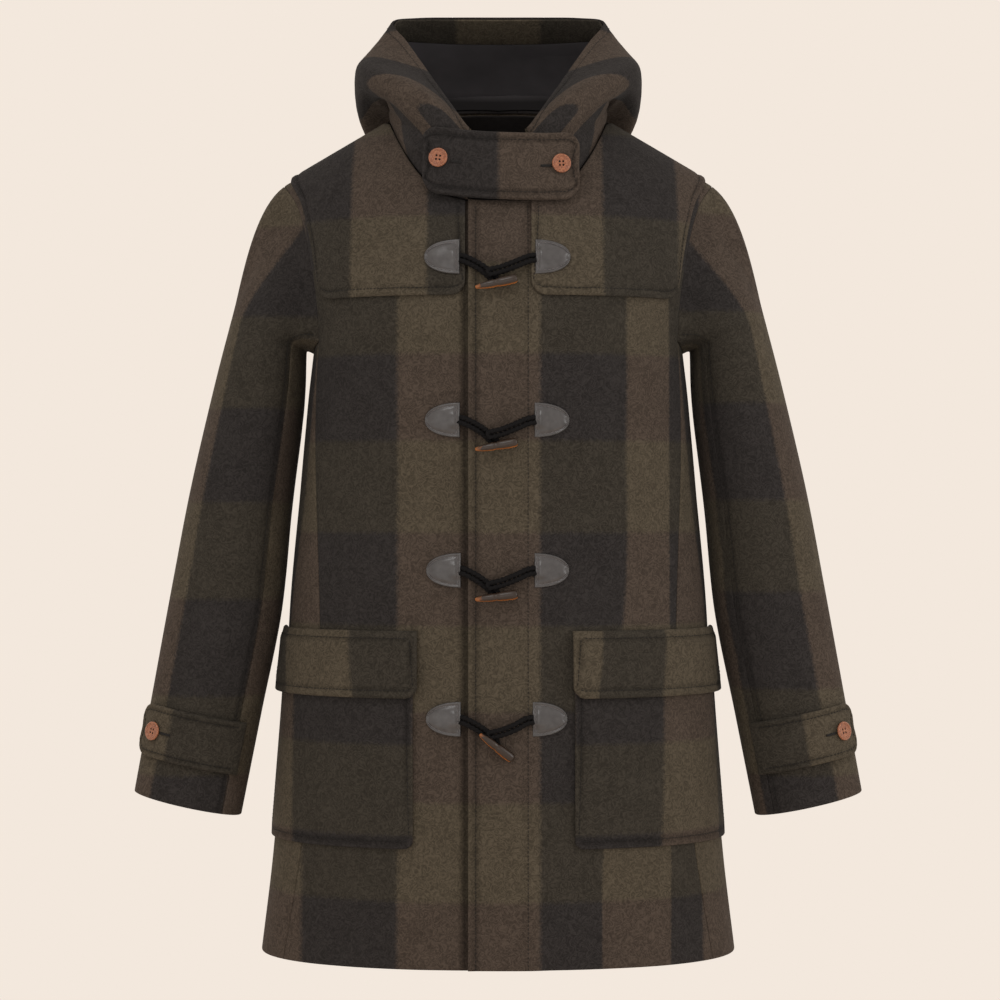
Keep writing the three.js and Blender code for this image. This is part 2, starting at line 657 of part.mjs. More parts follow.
function addYokes() {
  const fan = (sign, front, share) => fanLine(sign, front, share, 0).angleAt;
  const edge = (OUTER_CELLS - 1) / OUTER_CELLS;
  for (const [name, sign] of [["right", -1], ["left", 1]]) {
    const corner = [0, 0.25, 0.7].map((share) => YOKE.inner + share * YOKE.corner);
    const straight = [...corner, ...NECK_COLUMNS.slice(1)].map((x) => (z) => angleAtX(sign * x, z));
    const fans = [...steps(0, edge, OUTER_CELLS - 1).slice(1, -1), edge - 0.05, edge];
    const columns = [...straight, ...fans.map((share) => fan(sign, true, share))];
    const outerX = Math.abs(bodyPoint(columns[columns.length - 1](YOKE.bottom), YOKE.bottom).x);
    yoke("yoke_front_" + name, columns, true, (angleAt) => {
      const x = Math.abs(bodyPoint(angleAt(YOKE.bottom), YOKE.bottom).x);
      return YOKE.bottom + cornerCut(Math.min(x - YOKE.inner, outerX - x), YOKE.corner);
    });
  }
  const half = (sign) => [
    ...steps(edge, 0, OUTER_CELLS - 1).slice(0, -1).map((share) => fan(sign, false, share)),
    ...[...NECK_COLUMNS].reverse().map((x) => backNeckLine(sign * x).angleAt),
  ];
  const columns = [...half(1), backNeckLine(0).angleAt, ...half(-1).reverse()];
  yoke("yoke_back", columns, false, () => YOKE.backBottom);
}

// A yoke has the rows of the panel that it lies on, so that it follows the panel's own points.
function yoke(name, columns, front, bottomOf) {
  const grid = (out) =>
    columns.map((angleAt) => {
      const top = topOf(angleAt, front);
      const bottom = bottomOf(angleAt);
      const inNeck = Math.abs(bodyPoint(angleAt(top), top).x) < NECK_X - 1;
      const heights = UPPER_ROWS.slice(1).map((share) => Math.max(mix(ARMPIT_Z, top, share), bottom + 3));
      if (inNeck) heights[heights.length - 1] -= YOKE_SETBACK;
      return [bottom, ...heights].map((z) => {
        const lift = front ? lapLift(bodyPoint(angleAt(z), z).x) : 0;
        return bodyFace(angleAt(z), z, out + lift);
      });
    });
  const geometry = wall(grid(YOKE.lay + CLOTH), grid(YOKE.lay));
  add(name, openShoulderSeam(geometry, front ? -1 : 1), "wool");
}

// The angle round the body at a measured distance from the line x, on the wearer's left.
function angleFrom(x, distance, z) {
  const start = angleAtX(x, z);
  const fine = steps(start, Math.PI * 0.75, 90);
  let left = distance;
  for (let i = 1; i < fine.length; i += 1) {
    const step = ringPoint(fine[i], z).distanceTo(ringPoint(fine[i - 1], z));
    if (left <= step) return mix(fine[i - 1], fine[i], left / step);
    left -= step;
  }
  return fine[fine.length - 1];
}

function addPockets() {
  for (const [name, { sign, bag, flap }] of Object.entries(POCKET_SIDES)) {
    const face = (inner) => (distance, z, out) => bodyFace(sign * angleFrom(inner, distance, z), z, out);
    const cut = (distance, width, corner) => cornerCut(Math.min(distance, width - distance), corner);
    const bagGeometry = layer({
      face: face(bag[0]),
      columns: platedColumns(0, bag[1], POCKET.corner, POCKET.corner, 11),
      from: (distance) => POCKET.bottom + cut(distance, bag[1], POCKET.corner),
      to: () => POCKET.top,
      rows: 4,
      inner: () => LAY_GAP,
      outer: () => LAY_GAP + CLOTH,
    });
    add("pocket_" + name, bagGeometry, "wool");
    const lift = (share) => LAY_GAP + (CLOTH + SEAM_GAP) * THREE.MathUtils.smoothstep(1 - share, 0.02, 0.2);
    const swing = (share) => 3 * Math.max(1 - share - 0.2, 0);
    const flapGeometry = layer({
      face: face(flap[0]),
      columns: platedColumns(0, flap[1], FLAP.corner, FLAP.corner, 11),
      from: (distance) => FLAP.bottom + cut(distance, flap[1], FLAP.corner),
      to: () => FLAP.top,
      rows: 4,
      inner: (_, share) => lift(share) + swing(share),
      outer: (_, share) => lift(share) + swing(share) + FLAP_THICKNESS,
    });
    add("pocket_flap_" + name, flapGeometry, "wool");
  }
}

// The throat tab bridges both fronts in one curve of its own.
function tabPoint(x, z) {
  const y = TAB_Y + TAB_CURVE * x ** 2 + TAB_LEAN * (z - TAB.bottom);
  return new THREE.Vector3(x, y, z - TAB_BOW * (1 - (x / TAB.left) ** 2) - TAB_SLANT * x);
}

function tabFace(x, z, out) {
  const normal = normalOf(tabPoint, x, z, 1, 1, new THREE.Vector3(0, -1, 0));
  return tabPoint(x, z).addScaledVector(normal, out);
}

function addThroatTab() {
  const cut = (x) => cornerCut(Math.min(x - TAB.right, TAB.left - x), TAB.corner);
  const geometry = layer({
    face: tabFace,
    columns: platedColumns(TAB.right, TAB.left, TAB.corner, TAB.corner, 8),
    from: (x) => TAB.bottom + cut(x),
    to: (x) => TAB.top - cut(x),
    rows: 4,
    inner: () => 0,
    outer: () => TAB.thickness,
  });
  add("throat_tab", geometry, "wool");
  for (const name of ["right", "left"]) {
    placeButton("throat_button_" + name, (out) => tabFace(TAB_BUTTONS[name], TAB_BUTTONS.z, TAB.thickness + out));
  }
}

// The cuff tabs wrap round the outside of each sleeve from its front seam.
function addCuffTabs() {
  for (const [name, sign] of [["right", -1], ["left", 1]]) {
    const ring = rings[name];
    const round = (distance) => CUFF_TAB.seamTurn - distance / CUFF_MM_PER_DEGREE;
    const place = (distance, drop) => sleeveSection(sign, round(distance), CUFF_TAB.top + drop / SLEEVE_LENGTH_STEP);
    const face = (distance, drop, out) => {
      const here = place(distance, drop);
      const mid = read(SLEEVE, CUFF_TAB.top);
      const outwards = here.clone().sub(new THREE.Vector3(sign * mid.x, mid.y, here.z));
      return here.addScaledVector(normalOf(place, distance, drop, 1, 1, outwards), out);
    };
    const geometry = layer({
      face,
      columns: platedColumns(0, CUFF_TAB.length, 0, CUFF_TAB.corner, 9),
      from: (distance) => CUFF_TAB.height - cornerCut(CUFF_TAB.length - distance, CUFF_TAB.corner),
      to: (distance) => cornerCut(CUFF_TAB.length - distance, CUFF_TAB.corner),
      rows: 3,
      inner: () => LAY_GAP,
      outer: () => LAY_GAP + CUFF_TAB.thickness,
    });
    add("cuff_tab_" + name, geometry, "wool");
    const surface = LAY_GAP + CUFF_TAB.thickness;
    placeButton("cuff_button_" + name, (out) => face(CUFF_TAB.buttonAt, CUFF_TAB.height / 2, surface + out));
  }
}

// A solid of three.js geometry for a boolean cut.
function solid(geometry) {
  const bare = new THREE.BufferGeometry().setAttribute("position", geometry.attributes.position.clone());
  bare.setIndex(geometry.index ?? [...Array(bare.attributes.position.count).keys()]);
  const merged = mergeVertices(bare, 1e-4);
  return new wasm.Manifold(
    new wasm.Mesh({
      numProp: 3,
      vertProperties: merged.attributes.position.array,
      triVerts: new Uint32Array(merged.index.array),
    }),
  );
}

function geometryOf(manifold) {
  const mesh = manifold.getMesh();
  return new THREE.BufferGeometry()
    .setAttribute("position", new THREE.BufferAttribute(mesh.vertProperties, 3))
    .setIndex(new THREE.BufferAttribute(mesh.triVerts, 1));
}

// A dished button with four sewing holes, its back at the origin and its face towards +Y.
function buttonGeometry() {
  const { radius, thickness, dish, rim, hole, holeSpread } = BUTTON;
  const profile = [
    [0, 0],
    [radius - 1.6, 0],
    [radius, thickness * 0.5],
    [radius - 0.7, thickness],
    [radius - rim, thickness - 0.2],
    [radius - rim - 0.9, thickness - dish],
    [0, thickness - dish],
  ].map(([x, y]) => new THREE.Vector2(x, y));
  let button = solid(new THREE.LatheGeometry(profile, 14));
  for (const [x, z] of [[1, 1], [1, -1], [-1, -1], [-1, 1]]) {
    const drill = new THREE.CylinderGeometry(hole, hole, thickness * 3, 5);
    drill.translate(x * holeSpread, 0, z * holeSpread);
    button = button.subtract(solid(drill));
  }
  return geometryOf(button);
}

function placeButton(name, along) {
  const mesh = add(name, buttonGeometry(), "button");
  const up = along(1).sub(along(0)).normalize();
  mesh.position.copy(along(SEAM_GAP));
  mesh.quaternion.setFromUnitVectors(new THREE.Vector3(0, 1, 0), up);
}

// How far the uppermost cloth at a place stands off the body.
function clothTop(x, z) {
  const yoke = Math.abs(x) > YOKE.inner && z > YOKE.bottom ? CLOTH + YOKE.lay : 0;
  return lapLift(x) + yoke;
}

function patchGeometry(edgeX, sign, rowZ) {
  const half = (across) =>
    PATCH.halfHeight * (1 - (across / PATCH.width) ** PATCH.roundness) ** (1 / PATCH.roundness);
  const rise = (across, share) => {
    const down = (share * 2 - 1) ** 2;
    const along = ((across - PATCH.width * 0.45) / PATCH.width) ** 2 * 3;
    return PATCH.dome * Math.max(1 - down - along, 0);
  };
  const face = (across, z, out) => {
    const x = edgeX + sign * across;
    return onFront(x, z, clothTop(edgeX + sign * across, rowZ) + out);
  };
  return layer({
    face,
    columns: [0, 0.2, 0.45, 0.7, 0.88, 0.97].map((share) => share * PATCH.width),
    from: (across) => rowZ - half(across),
    to: (across) => rowZ + half(across),
    rows: 4,
    inner: () => LAY_GAP,
    outer: (across, share) => LAY_GAP + PATCH.thickness + rise(across, share),
  });
}

// A doubled cord along a middle line of x, height and stand-off: out on one side, round the end, back on the other.
function doubledCord(middle, rowZ) {
  const half = CORD_RADIUS + SEAM_GAP / 2 + 0.05;
  const flat = middle.map(([x, z]) => new THREE.Vector2(x, z));
  const count = flat.length;
  const ways = flat.map((_, i) => flat[Math.min(i + 1, count - 1)].clone().sub(flat[Math.max(i - 1, 0)]).normalize());
  const side = (i, sign) => {
    const across = new THREE.Vector2(-ways[i].y, ways[i].x).multiplyScalar(sign * half);
    return [flat[i].x + across.x, flat[i].y + across.y, middle[i][2]];
  };
  const last = count - 1;
  const end = [0.5, 0.866].map((share, k) => {
    const across = new THREE.Vector2(-ways[last].y, ways[last].x).multiplyScalar(half * (k ? 0.5 : 0.866));
    const on = ways[last].clone().multiplyScalar(half * share);
    return [on, across];
  });
  const bend = (k, sign) => {
    const [on, across] = end[k];
    return [flat[last].x + on.x + sign * across.x, flat[last].y + on.y + sign * across.y, middle[last][2]];
  };
  const tip = ways[last].clone().multiplyScalar(half);
  const route = [
    ...middle.map((_, i) => side(i, 1)),
    bend(0, 1),
    [flat[last].x + tip.x, flat[last].y + tip.y, middle[last][2]],
    bend(0, -1),
    ...middle.map((_, i) => side(last - i, -1)),
  ];
  const points = route.map(([x, z, out]) => {
    const y = bodyPoint(angleAtX(x, rowZ + z), rowZ + z).y;
    return new THREE.Vector3(x, y - out, rowZ + z);
  });
  return new THREE.CatmullRomCurve3(points, false, "centripetal");
}

function cordGeometry(curve) {
  const section = new THREE.Shape(
    steps(0, 2 * Math.PI, 8)
      .slice(0, -1)
      .map((a) => new THREE.Vector2(CORD_RADIUS * Math.cos(a), CORD_RADIUS * Math.sin(a))),
  );
  return new THREE.ExtrudeGeometry(section, { steps: CORD_STEPS, extrudePath: curve, bevelEnabled: false });
}

function toggleGeometry() {
  const { length, thick, waist, tip } = TOGGLE;
  const profile = [
    [0, 0],
    [tip, length * 0.02],
    [thick * 0.66, length * 0.2],
    [thick * 0.84, length * 0.42],
    [waist, length * 0.5],
    [thick * 0.94, length * 0.6],
    [thick, length * 0.86],
    [thick * 0.9, length],
    [0, length],
  ].map(([x, y]) => new THREE.Vector2(x, y - length / 2));
  return new THREE.LatheGeometry(profile, 8);
}

// Each row has a leather patch on both fronts, a toggle on its cord, and the loop that it goes through.
function addFastenings() {
  TOGGLES.forEach(({ z, rightX, leftX, turn, forward }, i) => {
    const number = i + 1;
    add("toggle_patch_right_" + number, patchGeometry(rightX, -1, z), "leather");
    add("toggle_patch_left_" + number, patchGeometry(leftX, 1, z), "leather");
    const rightOut = clothTop(rightX - 2, z) + CORD_LIFT;
    const lapOut = CLOTH + SEAM_GAP + CORD_LIFT;
    const cord = doubledCord(
      [
        [rightX + 2.2, 0, rightOut],
        [rightX + 5, -1.5, Math.max(rightOut, lapOut + 1.4)],
        [-19, -9.5, lapOut],
        [-9, -17.5, lapOut],
        [TOGGLE_X - 0.5, 2.5 - TOGGLE_DROP, lapOut],
      ],
      z,
    );
    add("toggle_cord_" + number, cordGeometry(cord), "cord");
    const leftOut = clothTop(leftX, z) + CORD_LIFT;
    const overOut = lapOut + 2 * CORD_RADIUS + SEAM_GAP + 0.1;
    const loop = doubledCord(
      [
        [leftX - 1.3, 0, leftOut],
        [leftX - 6, -1.2, Math.max(leftOut, lapOut + 1)],
        [17, -7.5, overOut],
        [4, -12.5, overOut],
        [-8, -15.5, overOut],
      ],
      z,
    );
    add("toggle_loop_" + number, cordGeometry(loop), "cord");
    const toggle = add("toggle_" + number, toggleGeometry(), "horn");
    const y = bodyPoint(0, z - TOGGLE_DROP).y;
    const out = lapOut + CORD_RADIUS + SEAM_GAP + TOGGLE.waist;
    toggle.position.set(TOGGLE_X, y - out, z - TOGGLE_DROP);
    const way = new THREE.Vector3(Math.cos(rad(turn)), 0, Math.sin(rad(turn))).multiplyScalar(Math.cos(rad(forward)));
    way.y = Math.sin(rad(forward));
    toggle.quaternion.setFromUnitVectors(new THREE.Vector3(0, 1, 0), way);
  });
}

addFronts();
addBack();
addSleeve("right", -1);
addSleeve("left", 1);
addHood();
addYokes();
addPockets();
addThroatTab();
addCuffTabs();
addFastenings();

export default group;
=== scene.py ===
"""A hooded duffle coat in block-checked felted wool, filled out as if worn, with nobody in it.

Every surface is worked out in millimetres in the coat's own frame: +Z up, -Y out of the front, and the wearer's
left at +X. The meshes are in metres.
"""

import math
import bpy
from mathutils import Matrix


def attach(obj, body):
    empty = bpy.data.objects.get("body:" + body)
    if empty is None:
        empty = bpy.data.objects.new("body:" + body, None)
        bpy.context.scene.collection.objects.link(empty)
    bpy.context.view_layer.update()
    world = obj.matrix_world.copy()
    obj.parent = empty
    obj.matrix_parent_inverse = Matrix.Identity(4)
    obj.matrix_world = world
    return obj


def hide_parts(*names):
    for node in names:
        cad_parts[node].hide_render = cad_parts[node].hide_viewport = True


bl_info = {
    "name": "Duffle coat",
    "version": (1, 0, 0),
    "blender": (4, 0, 0),
    "location": "View3D > Sidebar > Coat",
    "description": "Builds the cloth, sewing and fastenings of a checked wool duffle coat",
    "category": "Object",
}

import bpy
import mathutils
import numpy as np

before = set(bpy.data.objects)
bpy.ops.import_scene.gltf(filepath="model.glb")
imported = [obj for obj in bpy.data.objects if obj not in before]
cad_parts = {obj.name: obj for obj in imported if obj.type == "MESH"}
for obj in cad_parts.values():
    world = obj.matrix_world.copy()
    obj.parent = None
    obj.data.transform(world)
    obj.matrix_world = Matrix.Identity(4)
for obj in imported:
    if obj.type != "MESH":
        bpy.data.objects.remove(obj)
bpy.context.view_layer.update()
MM = 0.001

# Sizes of the cut, in millimetres
SEAM_GAP = 0.3
LAY = 0.9  # between a piece and the cloth that it is laid on
CLOTH = 3.0
HEM_Z = -907
FLOOR_Z = -1250
ARMPIT_Z = -251
ARMPIT_DIP = 10
SEAM_ANGLE_AT_ARMPIT = math.radians(73)
BACK_ARMHOLE_ANGLE = math.radians(113)
SHOULDER_TIP_X = 234
SHOULDER_SEAM_Y = 12
SHOULDER_SLOPE = 0.584
NECK_X = 118
NECK_Z = -9
NECK_RISE = 0.42
CHEST_ROUNDNESS = 1.8
FRONT_NECK_Z = -108
FRONT_NECK_POWER = 3.2
BACK_NECK_Z = 8
OVERLAP_X = 31
UNDERLAP_X = 25
OVERLAP_FADE_X = 60
FAN_WIDTH = 120  # across a panel from its neck corner to its side edge, as a column number
STITCH_INSET = 8  # from an edge to its row of topstitching

# Rings of the body below the armholes
BODY = {
    "z": [-907, -812, -720, -630, -529, -420, -311, -251],
    "half_width": [257, 245.5, 237.5, 231, 226, 216, 206, 199],
    "front": [150, 150, 149, 147, 143, 142, 147, 150],
    "back": [146, 144, 142, 137, 128, 119, 122, 128],
    "squareness": [2.25, 2.25, 2.28, 2.3, 2.3, 2.35, 2.45, 2.5],
}
# The side seam's place, in degrees round from the centre front
SIDE_SEAM = {"z": [-907, -700, -545, -356, -251], "angle": [61, 55, 54, 66, 73]}
# How far out the armhole has moved towards the shoulder tip
ARMHOLE = {"z": [-251, -219, -177, -132, -99, -77], "share": [0, 0.04, 0.17, 0.39, 0.65, 1]}
# Sections of the left sleeve, square to its axis, 110 mm apart
SLEEVE = {
    "at": [0, 1, 2, 3, 4, 5],
    "x": [250.5, 261, 280, 295.5, 315.5, 335.5],
    "y": [6, 5, 3, -4, -14, -23],
    "z": [-243, -310, -420, -529, -638, -747],
    "half_width": [44, 50, 56, 61, 60, 59],
    "half_depth": [73, 75, 71, 62, 53, 47],
    "tilt": [21, 12, 10.3, 10.4, 11.5, 12.6],
}
SLEEVE_STEP = 110
SLEEVE_GAP = 0.14  # half a sleeve seam's gap, in degrees round the sleeve
SLEEVE_STITCH_INSET = 6
SLEEVE_HEAD_PULL = 0.8
UNDERARM_FOLD = math.radians(80)
ARMHOLE_GAP = 0.1

# Sections of the left half of the hood, from the centre back at 0 to the throat at 1
HOOD_AT = [0, 0.08, 0.18, 0.28, 0.38, 0.5, 0.65, 0.8, 1]
HOOD_POINTS = {
    "stand": [(0, 68, 25), (24, 68, 25), (52, 66, 24), (78, 60, 22), (100, 44, 14),
              (120, 6, 6), (95, -82, -40), (68, -106, -66), (32, -123, -92)],
    "floor": [(0, 114, -22), (42, 112, -20), (84, 104, -12), (116, 66, 0), (124, 24, 14),
              (121, -14, 14), (97, -76, -18), (70, -104, -44), (33, -122, -78)],
    "fold": [(0, 164, -80), (56, 158, -72), (122, 128, -40), (150, 62, -6), (148, -12, 24),
             (125, -54, 12), (101, -88, -4), (73, -110, -22), (34, -121, -62)],
    "full": [(0, 160, 48), (57, 150, 48), (124, 118, 52), (152, 58, 56), (153, 0, 54),
             (137, -46, 40), (98, -84, 22), (66, -108, -4), (33, -116, -46)],
    "edge": [(0, 68, 119), (46, 68, 119), (90, 66, 118), (118, 58, 112), (101, 27, 86),
             (83, -6, 57), (62, -47, 22), (44, -79, -7), (31, -106, -28)],
}
HOOD_FRONT_SHARE = 0.5
HOOD_SEAM_AT = 0.09
FACING_FROM = 0.935
RIM_STITCH_INSET = 9
LINING = 1.2
FACING = 2.0


SIGN = {"right": -1, "left": 1}  # of x on each side of the coat
HALF_GAP_ANGLE = SEAM_GAP / 2 / 190  # half a side seam's gap as an angle, 190 mm from the body's middle


def smooth(value, low, high):
    """The cubic step from 0 at low to 1 at high."""
    t = np.clip((value - low) / (high - low), 0, 1)
    return t * t * (3 - 2 * t)


def mix(a, b, share):
    """a where share is 0, b where it is 1."""
    return a + (b - a) * share


def cubic(t, low, high, low_slope, high_slope):
    """The cubic Hermite curve from low at t = 0 to high at t = 1, with its slopes there."""
    return (
        (2 * t**3 - 3 * t**2 + 1) * low
        + (t**3 - 2 * t**2 + t) * low_slope
        + (3 * t**2 - 2 * t**3) * high
        + (t**3 - t**2) * high_slope
    )


def catmull_rom(p, t):
    """The centripetal Catmull-Rom curve from p[1] to p[2], of four points or four grids of points."""
    d = [np.maximum(np.linalg.norm(p[k + 1] - p[k], axis=-1, keepdims=True) ** 0.5, 1e-4) for k in range(3)]
    m1 = (p[1] - p[0]) / d[0] - (p[2] - p[0]) / (d[0] + d[1]) + (p[2] - p[1]) / d[1]
    m2 = (p[2] - p[1]) / d[1] - (p[3] - p[1]) / (d[1] + d[2]) + (p[3] - p[2]) / d[2]
    return cubic(t, p[1], p[2], m1 * d[1], m2 * d[1])


def run_along(points):
    """How far each point lies along its line, on the first axis of one line or of a grid of lines."""
    steps = np.linalg.norm(np.diff(points, axis=0), axis=-1)
    return np.concatenate([0 * steps[:1], np.cumsum(steps, 0)])


def hermite(xs, ys, value):
    """A cubic Hermite curve through (xs, ys), whose slope at a row is that between the rows beside it."""
    xs, ys = np.asarray(xs, float), np.asarray(ys, float)
    last = len(xs) - 1
    v = np.clip(value, xs[0], xs[-1])
    i = np.searchsorted(xs[1:-1], v, side="left")
    before, after = np.maximum(np.arange(last + 1) - 1, 0), np.minimum(np.arange(last + 1) + 1, last)
    slope = ((ys[after] - ys[before]).T / (xs[after] - xs[before])).T
    span = xs[i + 1] - xs[i]
    t = (v - xs[i]) / span
    if ys.ndim > 1:
        t, span = t[..., None], span[..., None]
    return cubic(t, ys[i], ys[i + 1], span * slope[i], span * slope[i + 1])


def read(table, value):
    """Every other column of a table at value of its first column."""
    key, *names = table
    return {name: hermite(table[key], table[name], value) for name in names}


def signed_power(value, power):
    """abs(value) ** power, with value's sign."""
    return np.sign(value) * np.abs(value) ** power


def unit(v):
    """Vectors made one long."""
    return v / np.maximum(np.linalg.norm(v, axis=-1, keepdims=True), 1e-9)


def ring_point(angle, z):
    """A superellipse: x = a sin^(2/p), y = -d cos^(2/p), with a, d and p read from BODY at z."""
    ring = read(BODY, z)
    power = 2 / ring["squareness"]
    depth = np.where(np.cos(angle) >= 0, ring["front"], ring["back"])
    x = ring["half_width"] * signed_power(np.sin(angle), power)
    return np.stack([x, -depth * signed_power(np.cos(angle), power), z + 0 * x], -1)


FRONT_EDGE_X = float(ring_point(SEAM_ANGLE_AT_ARMPIT, ARMPIT_Z)[0])
BACK_EDGE_X = float(ring_point(BACK_ARMHOLE_ANGLE, ARMPIT_Z)[0])


def armhole_x(z, front):
    """The armhole edge's x, moving out from the armpit to the shoulder tip."""
    return mix(FRONT_EDGE_X if front else BACK_EDGE_X, SHOULDER_TIP_X, read(ARMHOLE, z)["share"])


def shoulder_line(x):
    """The shoulder's height: one slope outside the neck and a gentler rise inside it."""
    past = np.abs(x) - NECK_X
    return NECK_Z - past * np.where(past > 0, SHOULDER_SLOPE, NECK_RISE)


def top_edge(x, front):
    """A panel's top: the neckline curve near the middle, and the shoulder line past it."""
    share = np.minimum(np.abs(x) / NECK_X, 1)
    middle = FRONT_NECK_Z if front else BACK_NECK_Z
    neck = middle + (NECK_Z - middle) * share ** (FRONT_NECK_POWER if front else 2)
    return np.where(np.abs(x) >= NECK_X, shoulder_line(x), neck)


def body_point(angle, z):
    """The ring below the armpit. Above it y curves in to the shoulder seam as (1 - climb^p)^(1/p)."""
    angle, z = np.broadcast_arrays(np.asarray(angle, float), np.asarray(z, float))
    low = ring_point(angle, np.minimum(z, ARMPIT_Z))
    front = np.cos(angle) >= 0
    reach = np.where(front, armhole_x(z, True) / FRONT_EDGE_X, armhole_x(z, False) / BACK_EDGE_X)
    x = low[..., 0] * np.where(z > ARMPIT_Z, reach, 1)
    climb = np.clip((z - ARMPIT_Z) / (shoulder_line(x) - ARMPIT_Z), 0, 1)
    depth = (1 - climb**CHEST_ROUNDNESS) ** (1 / CHEST_ROUNDNESS)
    y = np.where(z > ARMPIT_Z, mix(SHOULDER_SEAM_Y, low[..., 1], depth), low[..., 1])
    return np.stack([x, y, z], -1)


def angle_at_x(x, z, front=True):
    """The angle at which the front or back reaches x: ring_point's x turned round."""
    z = np.asarray(z, float)
    ring = read(BODY, np.minimum(z, ARMPIT_Z))
    edge = FRONT_EDGE_X if front else BACK_EDGE_X
    reached = np.where(z > ARMPIT_Z, x * edge / armhole_x(z, front), x)
    share = np.clip(reached / ring["half_width"], -1, 1)
    angle = np.arcsin(signed_power(share, ring["squareness"] / 2))
    return angle if front else np.pi - angle


def seam_angle(z):
    """The side seam's angle at z."""
    return np.where(z > ARMPIT_Z, SEAM_ANGLE_AT_ARMPIT, np.radians(read(SIDE_SEAM, z)["angle"]))


def column_angle(s, z, front):
    """Column s of a panel: the line x = s as far as the neck corner, then an even fan to the side edge."""
    s, z = np.broadcast_arrays(np.asarray(s, float), np.asarray(z, float))
    near = angle_at_x(np.minimum(np.abs(s), NECK_X), z, front)
    far = seam_angle(z) if front else np.full_like(z, BACK_ARMHOLE_ANGLE)
    share = np.maximum(np.abs(s) - NECK_X, 0) / FAN_WIDTH
    return mix(near, far, share) * np.where(s < 0, -1, 1)


def column_top(s, front):
    """Where each column meets the top edge, by halving the height between armpit and neck."""
    low, high = np.full(np.shape(s), float(ARMPIT_Z)), np.full(np.shape(s), 40.0)
    for _ in range(30):
        z = (low + high) / 2
        under = z < top_edge(body_point(column_angle(s, z, front), z)[..., 0], front)
        low, high = np.where(under, z, low), np.where(under, high, z)
    return low


def spread(length, step, edge=1.5, start=True, end=True):
    """Places along a length about a step apart, with closer ones where an edge is rounded."""
    close = np.array([0, 0.15, 0.5, 1.0]) * edge
    inner = np.linspace(edge if start else 0, length - (edge if end else 0), max(int(length / step), 2) + 1)
    parts = [close[:-1]] if start else []
    parts.append(inner)
    if end:
        parts.append((length - close[:-1])[::-1])
    return np.concatenate(parts)


def rounding(distance, thickness):
    """How far each face of a sheet draws in towards its middle near an edge: a half circle in section."""
    radius = thickness / 2
    inside = np.clip(radius - distance, 0, radius)
    return np.minimum(radius - np.sqrt(np.maximum(radius**2 - inside**2, 0)), radius * 0.92)


def groove(distance, inset=STITCH_INSET, depth=0.9, width=1.8):
    """The dip that a row of topstitching pulls into thick cloth, and the roll between it and an edge."""
    dip = -depth * np.exp(-(((distance - inset) / width) ** 2))
    return dip + 0.55 * np.exp(-(((distance - inset * 0.45) / (inset * 0.3)) ** 2)) if inset else dip


def creases(table, p, q):
    """The sum of soft ridges, or troughs where height is negative.

    Each is a line from (p0, q0) to (p1, q1): height * exp(-(d / width)^2), with d the distance to the line,
    bowed sideways by bow at its middle and fading to nothing at both ends.
    """
    total = np.zeros(np.broadcast(p, q).shape)
    for p0, q0, p1, q1, width, height, bow in table:
        along = np.array([p1 - p0, q1 - q0], float)
        length = np.hypot(*along)
        along /= length
        t = ((p - p0) * along[0] + (q - q0) * along[1]) / length
        inside = np.clip(t, 0, 1)
        aside = -(p - p0) * along[1] + (q - q0) * along[0] - bow * 4 * inside * (1 - inside)
        past = (t - inside) * length
        distance = np.hypot(aside, past)
        total += height * np.exp(-((distance / width) ** 2)) * np.sin(np.pi * np.clip(t, 0.02, 0.98)) ** 0.6
    return total


# Creases of the fronts, by x and height: ends, half width, height and bow in mm
FRONT_CREASES = [
    (-176, -262, -128, -330, 13, 2.2, 6),
    (178, -258, 136, -318, 12, 2.0, -5),
    (-150, -300, -112, -420, 17, -1.8, -7),
    (152, -300, 120, -410, 16, -1.6, 7),
    (-96, -800, -88, -905, 22, 2.4, 4),
    (52, -792, 60, -905, 24, 2.2, -4),
    (-20, -700, -14, -900, 26, -2.0, 3),
    (110, -795, 122, -905, 18, -2.2, 3),
    (-160, -790, -170, -905, 20, -2.4, -4),
    (168, -640, 176, -905, 22, 1.8, 0),
    (-60, -380, -72, -520, 24, -1.5, 6),
    (64, -390, 78, -530, 26, -1.4, -6),
    (-130, -440, -140, -560, 22, 1.4, 4),
    (128, -430, 142, -560, 22, 1.3, -5),
]
# Creases of the back, by arc from the centre back and height
BACK_CREASES = [
    (-40, -300, -70, -620, 32, 3.0, 12),
    (52, -280, 74, -560, 30, 2.6, -10),
    (4, -420, -8, -900, 34, -3.0, 8),
    (-120, -560, -136, -905, 26, 3.4, -6),
    (130, -600, 142, -905, 28, 3.2, 6),
    (-190, -300, -150, -380, 16, 2.4, 6),
    (190, -300, 152, -372, 16, 2.2, -5),
    (70, -700, 82, -905, 24, -2.6, 4),
    (-64, -740, -70, -905, 22, -2.2, -4),
    (-90, -60, -60, -190, 24, 1.8, 8),
    (88, -60, 66, -180, 22, 1.6, -8),
]


def body_relief(base):
    """How far the creases move the body's cloth at points of it."""
    x, y, z = np.moveaxis(base, -1, 0)
    return mix(creases(FRONT_CREASES, x, z), creases(BACK_CREASES, x, z), smooth(y, -30, 30))


def lap_lift(x):
    """How far the lapping front stands off the body, fading to nothing at OVERLAP_FADE_X."""
    share = smooth(x, UNDERLAP_X + 3, OVERLAP_FADE_X)
    return np.where(x < -OVERLAP_X - 1, 0, (CLOTH + SEAM_GAP) * (1 - share))


def on_body(angle, z, out):
    """Points at a height out over the body's cloth, square to a grid of angles and heights."""
    base = body_point(angle, z)
    normal = unit_out(angle, z)
    return base + normal * (out + body_relief(base))[..., None]


